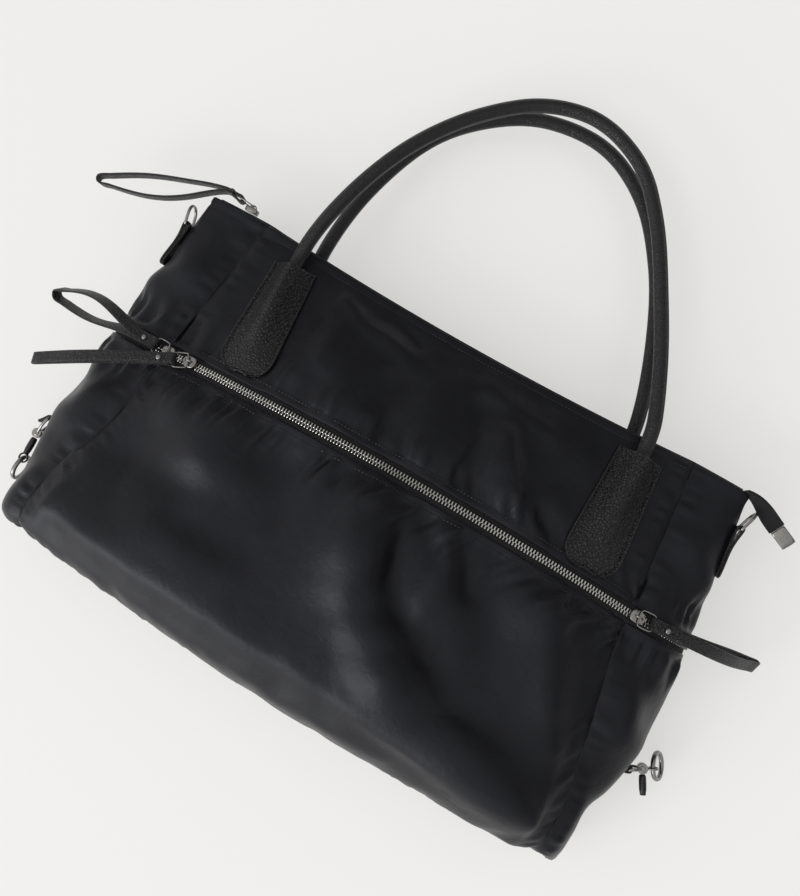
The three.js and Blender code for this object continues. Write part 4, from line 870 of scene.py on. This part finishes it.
for name in ("front_handle", "back_handle"):
    middle = ring_centres(name, FRAME_SIDES)
    path = along_rows(middle, np.linspace(0, len(middle) - 1, HANDLE_STEPS))
    ahead = np.gradient(path, axis=0)
    ahead /= np.linalg.norm(ahead, axis=1, keepdims=True)
    up = np.array([0, 0, 1.0]) - ahead * ahead[:, 2:]
    up /= np.linalg.norm(up, axis=1, keepdims=True)
    side = np.cross(ahead, up)
    angle = np.linspace(0, 2 * math.pi, HANDLE_SIDES, endpoint=False)
    radius = np.full(HANDLE_SIDES, HANDLE_RADIUS)
    ridge = np.zeros(HANDLE_SIDES)
    for place in RIDGES:
        turn = (angle - place + math.pi) % (2 * math.pi) - math.pi
        ridge += np.exp(-(turn / RIDGE_WIDTH) ** 2)
        radius -= 0.4 * RIDGE_RISE * np.exp(-((np.abs(turn) - 2.6 * RIDGE_WIDTH) / RIDGE_WIDTH) ** 2)
    radius += RIDGE_RISE * ridge
    grid = (path[:, None] + up[:, None] * (np.cos(angle) * radius)[None, :, None]
            + side[:, None] * (np.sin(angle) * radius)[None, :, None])
    grid = np.concatenate([grid, grid[:, :1]], axis=1)
    tube = grid_mesh("leather_" + name, grid)
    # The two seam ridges carry the painted highlight.
    store(tube, "painted_highlight", np.tile(np.append(ridge, ridge[0]), (HANDLE_STEPS, 1)))
    bm = bmesh.new()
    bm.from_mesh(tube.data)
    bmesh.ops.remove_doubles(bm, verts=bm.verts, dist=MERGE)
    open_edges = [edge for edge in bm.edges if edge.is_boundary]
    bmesh.ops.holes_fill(bm, edges=open_edges, sides=0)
    bmesh.ops.recalc_face_normals(bm, faces=bm.faces)
    bm.to_mesh(tube.data)
    bm.free()
    tube.data.shade_smooth()
    tube.data.materials.append(handle_leather)
    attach(tube, "bag")
    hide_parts(name)

# Stitching
# Fine dark thread along the hems beside the zips and round the patches.

thread, tree, shader = new_material("thread")
place = node(tree, "ShaderNodeTexCoord")
twist = node(tree, "ShaderNodeTexWave", wave_type="BANDS", bands_direction="DIAGONAL", Scale=900)
tree.links.new(place.outputs["Object"], twist.inputs["Vector"])
tree.links.new(mixed_colour(tree, twist.outputs["Fac"], (0.003, 0.003, 0.004), (0.010, 0.010, 0.011)),
               shader.inputs["Base Color"])
shader.inputs["Roughness"].default_value = 0.5
for part, (vertices, polygons) in thread_parts.items():
    mesh = bpy.data.meshes.new(part + "_stitches")
    mesh.from_pydata(vertices, [], polygons)
    made = bpy.data.objects.new(part + "_stitches", mesh)
    bpy.context.scene.collection.objects.link(made)
    made.data.materials.append(thread)
    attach(made, "bag")

# Pull straps and tabs
# Narrow straps of the same leather. Each pull is a strap folded back into a loop with a round tip.

strap_leather = leather_material("leather_strap", 0.75 * PEBBLE_SIZE, 0.9, (0.0056, 0.0057, 0.0066))
def rounded_copy(name, new_name, crisp, levels, uneven=1.0):
    """The node's own shape in quads, subdivided. Edges sharper than crisp degrees stay crisp if one
    of their faces is at least uneven times as large as the other."""
    bm = bmesh.new()
    bm.from_mesh(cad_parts[name].data)
    bmesh.ops.remove_doubles(bm, verts=bm.verts, dist=MERGE)
    bmesh.ops.join_triangles(bm, faces=bm.faces, angle_face_threshold=math.radians(38),
                             angle_shape_threshold=math.radians(60))
    crease = bm.edges.layers.float.new("crease_edge")
    sharp = []
    for edge in bm.edges:
        areas = sorted(face.calc_area() for face in edge.link_faces)
        if edge.calc_face_angle(0) > math.radians(crisp) and areas[-1] >= uneven * areas[0]:
            edge[crease] = 0.75
            sharp.append((edge.verts[0].co.copy(), edge.verts[1].co.copy()))
    mesh = bpy.data.meshes.new(new_name)
    bm.to_mesh(mesh)
    bm.free()
    made = bpy.data.objects.new(new_name, mesh)
    bpy.context.scene.collection.objects.link(made)
    smooth = made.modifiers.new("Round", "SUBSURF")
    smooth.levels = levels
    smooth.render_levels = levels
    evaluated = made.evaluated_get(bpy.context.evaluated_depsgraph_get())
    finer = bpy.data.meshes.new_from_object(evaluated)
    made.modifiers.clear()
    made.data = finer
    made.data.shade_smooth()
    return made, sharp


def painted_highlight_mask(obj, sharp, reach):
    """The mask of the painted highlight: 1 on the crisp edges, falling to 0 at the given reach."""
    points = np.empty(len(obj.data.vertices) * 3)
    obj.data.vertices.foreach_get("co", points)
    points = points.reshape(-1, 3)
    nearest = np.full(len(points), 1.0)
    for a, b in sharp:
        a, b = np.array(a), np.array(b)
        line = b - a
        share = np.clip((points - a) @ line / (line @ line), 0, 1)
        nearest = np.minimum(nearest, np.linalg.norm(points - a - share[:, None] * line, axis=1))
    store(obj, "painted_highlight", np.clip(1 - nearest / reach, 0, 1))


EDGE_REACH = 0.0011
TIP_LENGTH = 0.011
TIP_ROUNDING = 0.75


def rounded_tip(obj, root):
    """Turns the pointed end that lies farthest from root into a round one of the same length."""
    points = np.empty(len(obj.data.vertices) * 3)
    obj.data.vertices.foreach_get("co", points)
    away = points.reshape(-1, 3) - np.array(root)
    way = away[np.linalg.norm(away, axis=1).argmax()]
    way = way / np.linalg.norm(way)
    along = away @ way
    share = np.clip((along - along.max()) / TIP_LENGTH + 1, 0, 1)
    forward = TIP_ROUNDING * TIP_LENGTH * (np.sqrt(1 - (1 - share) ** 2) - share)
    points = points + (forward[:, None] * way).ravel()
    obj.data.vertices.foreach_set("co", points)


def leather_piece(name, material, crisp, levels, root=None):
    made, sharp = rounded_copy(name, "leather_" + name, crisp, levels, 2.2)
    # The crisp edges of the straps and tabs carry the painted highlight.
    painted_highlight_mask(made, sharp, EDGE_REACH)
    if root is not None:
        rounded_tip(made, root)
    made.data.materials.clear()
    made.data.materials.append(material)
    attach(made, "bag")
    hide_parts(name)
    return made


PULLS = ("left_gusset", "left_front", "right", "top")
for pull in PULLS:
    least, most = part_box(pull + "_pull_rivet")
    leather_piece(pull + "_pull_strap", strap_leather, 70, 2, (least + most) / 2)
for name in ("left_dring_tab", "right_dring_tab", "left_hook_tab", "right_hook_tab"):
    leather_piece(name, strap_leather, 70, 2)

# Metal fittings
# Zip sliders, wire rings, rivets, D-rings and hooks in polished gunmetal; the bolts are black.

black_metal, tree, shader = new_material("black_metal")
place = node(tree, "ShaderNodeTexCoord")
wear = node(tree, "ShaderNodeTexNoise", Scale=700, Detail=5, Roughness=0.7)
tree.links.new(place.outputs["Object"], wear.inputs["Vector"])
tree.links.new(mixed_colour(tree, wear.outputs["Fac"], (0.006, 0.006, 0.007), (0.020, 0.020, 0.022)),
               shader.inputs["Base Color"])
tree.links.new(mapped(tree, wear.outputs["Fac"], 0.18, 0.40), shader.inputs["Roughness"])
shader.inputs["Metallic"].default_value = 0.4

PULL_PARTS = ("_slider", "_pull_ring", "_pull_rivet")
FITTINGS = [("bag", pull + part, "gunmetal") for pull in PULLS for part in PULL_PARTS]
FITTINGS += [
    ("left_ring", "left_dring", "gunmetal"), ("right_ring", "right_dring", "gunmetal"),
    ("left_eye", "left_hook_eye", "gunmetal"), ("right_eye", "right_hook_eye", "gunmetal"),
    ("left_bolt", "left_hook_bolt", "black_metal"), ("right_bolt", "right_hook_bolt", "black_metal"),
    ("left_bolt", "left_strap_ring", "gunmetal"), ("right_eye", "right_strap_ring", "gunmetal"),
    ("bag", "top_zip_cap", "gunmetal"),
]
for body, name, finish in FITTINGS:
    made, sharp = rounded_copy(name, "metal_" + name, 60, 2)
    made.data.materials.clear()
    made.data.materials.append(gunmetal if finish == "gunmetal" else black_metal)
    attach(made, body)
    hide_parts(name)

# Free end of the top zip
# The tape runs past the corner, twists over and ends in its metal cap.

tail, sharp = rounded_copy("top_zip_tail", "zip_tail", 70, 3)
tail.data.materials.clear()
tail.data.materials.append(tape)
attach(tail, "bag")
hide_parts("top_zip_tail")

# Setting
# A pale matt surface under broad soft lights, seen from almost overhead.

FLOOR_SIZE = 14.0
middle = ((low.x + high.x) / 2, (low.y + high.y) / 2, low.z)
bpy.ops.mesh.primitive_plane_add(size=FLOOR_SIZE, location=middle)
floor = bpy.context.object
floor.name = "floor"
paper, tree, shader = new_material("paper")
shader.inputs["Base Color"].default_value = (0.345, 0.342, 0.335, 1)
shader.inputs["Emission Color"].default_value = (1.0, 0.994, 0.98, 1)
shader.inputs["Emission Strength"].default_value = 0.50
shader.inputs["Roughness"].default_value = 0.9
shader.inputs["Specular IOR Level"].default_value = 0.1
floor.data.materials.append(paper)

LIGHT_WAY = Vector((-0.42, -0.74, 0.52)).normalized()
world = bpy.data.worlds.new("studio")
bpy.context.scene.world = world
world.use_nodes = True
tree = world.node_tree
place = node(tree, "ShaderNodeTexCoord")
towards = node(tree, "ShaderNodeVectorMath", operation="DOT_PRODUCT")
towards.inputs[1].default_value = LIGHT_WAY
tree.links.new(place.outputs["Generated"], towards.inputs[0])
level = node(tree, "ShaderNodeMapRange")
level.inputs["From Min"].default_value = -0.3
level.inputs["From Max"].default_value = 1.0
level.inputs["To Min"].default_value = 0.22
level.inputs["To Max"].default_value = 1.35
tree.links.new(towards.outputs["Value"], level.inputs["Value"])
tree.links.new(level.outputs["Result"], tree.nodes["Background"].inputs["Strength"])
tree.nodes["Background"].inputs["Color"].default_value = (1.0, 0.995, 0.985, 1)

LIGHTS = [
    ("key", (-1.90, -3.90, 1.90), 2.6, 125),
    ("fill", (1.2, 1.0, 1.8), 2.0, 5),
]
for name, place, size, power in LIGHTS:
    lamp = bpy.data.lights.new(name, "AREA")
    lamp.size = size
    lamp.energy = power
    holder = bpy.data.objects.new(name, lamp)
    bpy.context.scene.collection.objects.link(holder)
    holder.location = place
    holder.rotation_euler = (Vector((0, 0, 0.05)) - Vector(place)).to_track_quat("-Z", "Y").to_euler()

CAMERA_PLACE = Vector((0.10861, -0.06168, 0.775))
TILT_DOWN = math.radians(5.5)
TILT_SIDE = math.radians(5.8)
TURN = math.radians(30)
SENSOR = 36
LENS_SHARE = 950 / 896  # the lens as a share of the picture's height
lens_body = bpy.data.cameras.new("view")
lens_body.sensor_width = SENSOR
lens_body.lens = LENS_SHARE * SENSOR
camera = bpy.data.objects.new("view", lens_body)
bpy.context.scene.collection.objects.link(camera)
turn = Matrix.Rotation(TURN, 3, "Z") @ Matrix.Rotation(TILT_SIDE, 3, "Y") @ Matrix.Rotation(TILT_DOWN, 3, "X")
camera.matrix_world = Matrix.Translation(CAMERA_PLACE) @ turn.to_4x4()
bpy.context.scene.camera = camera
bpy.context.scene.view_settings.view_transform = "Standard"
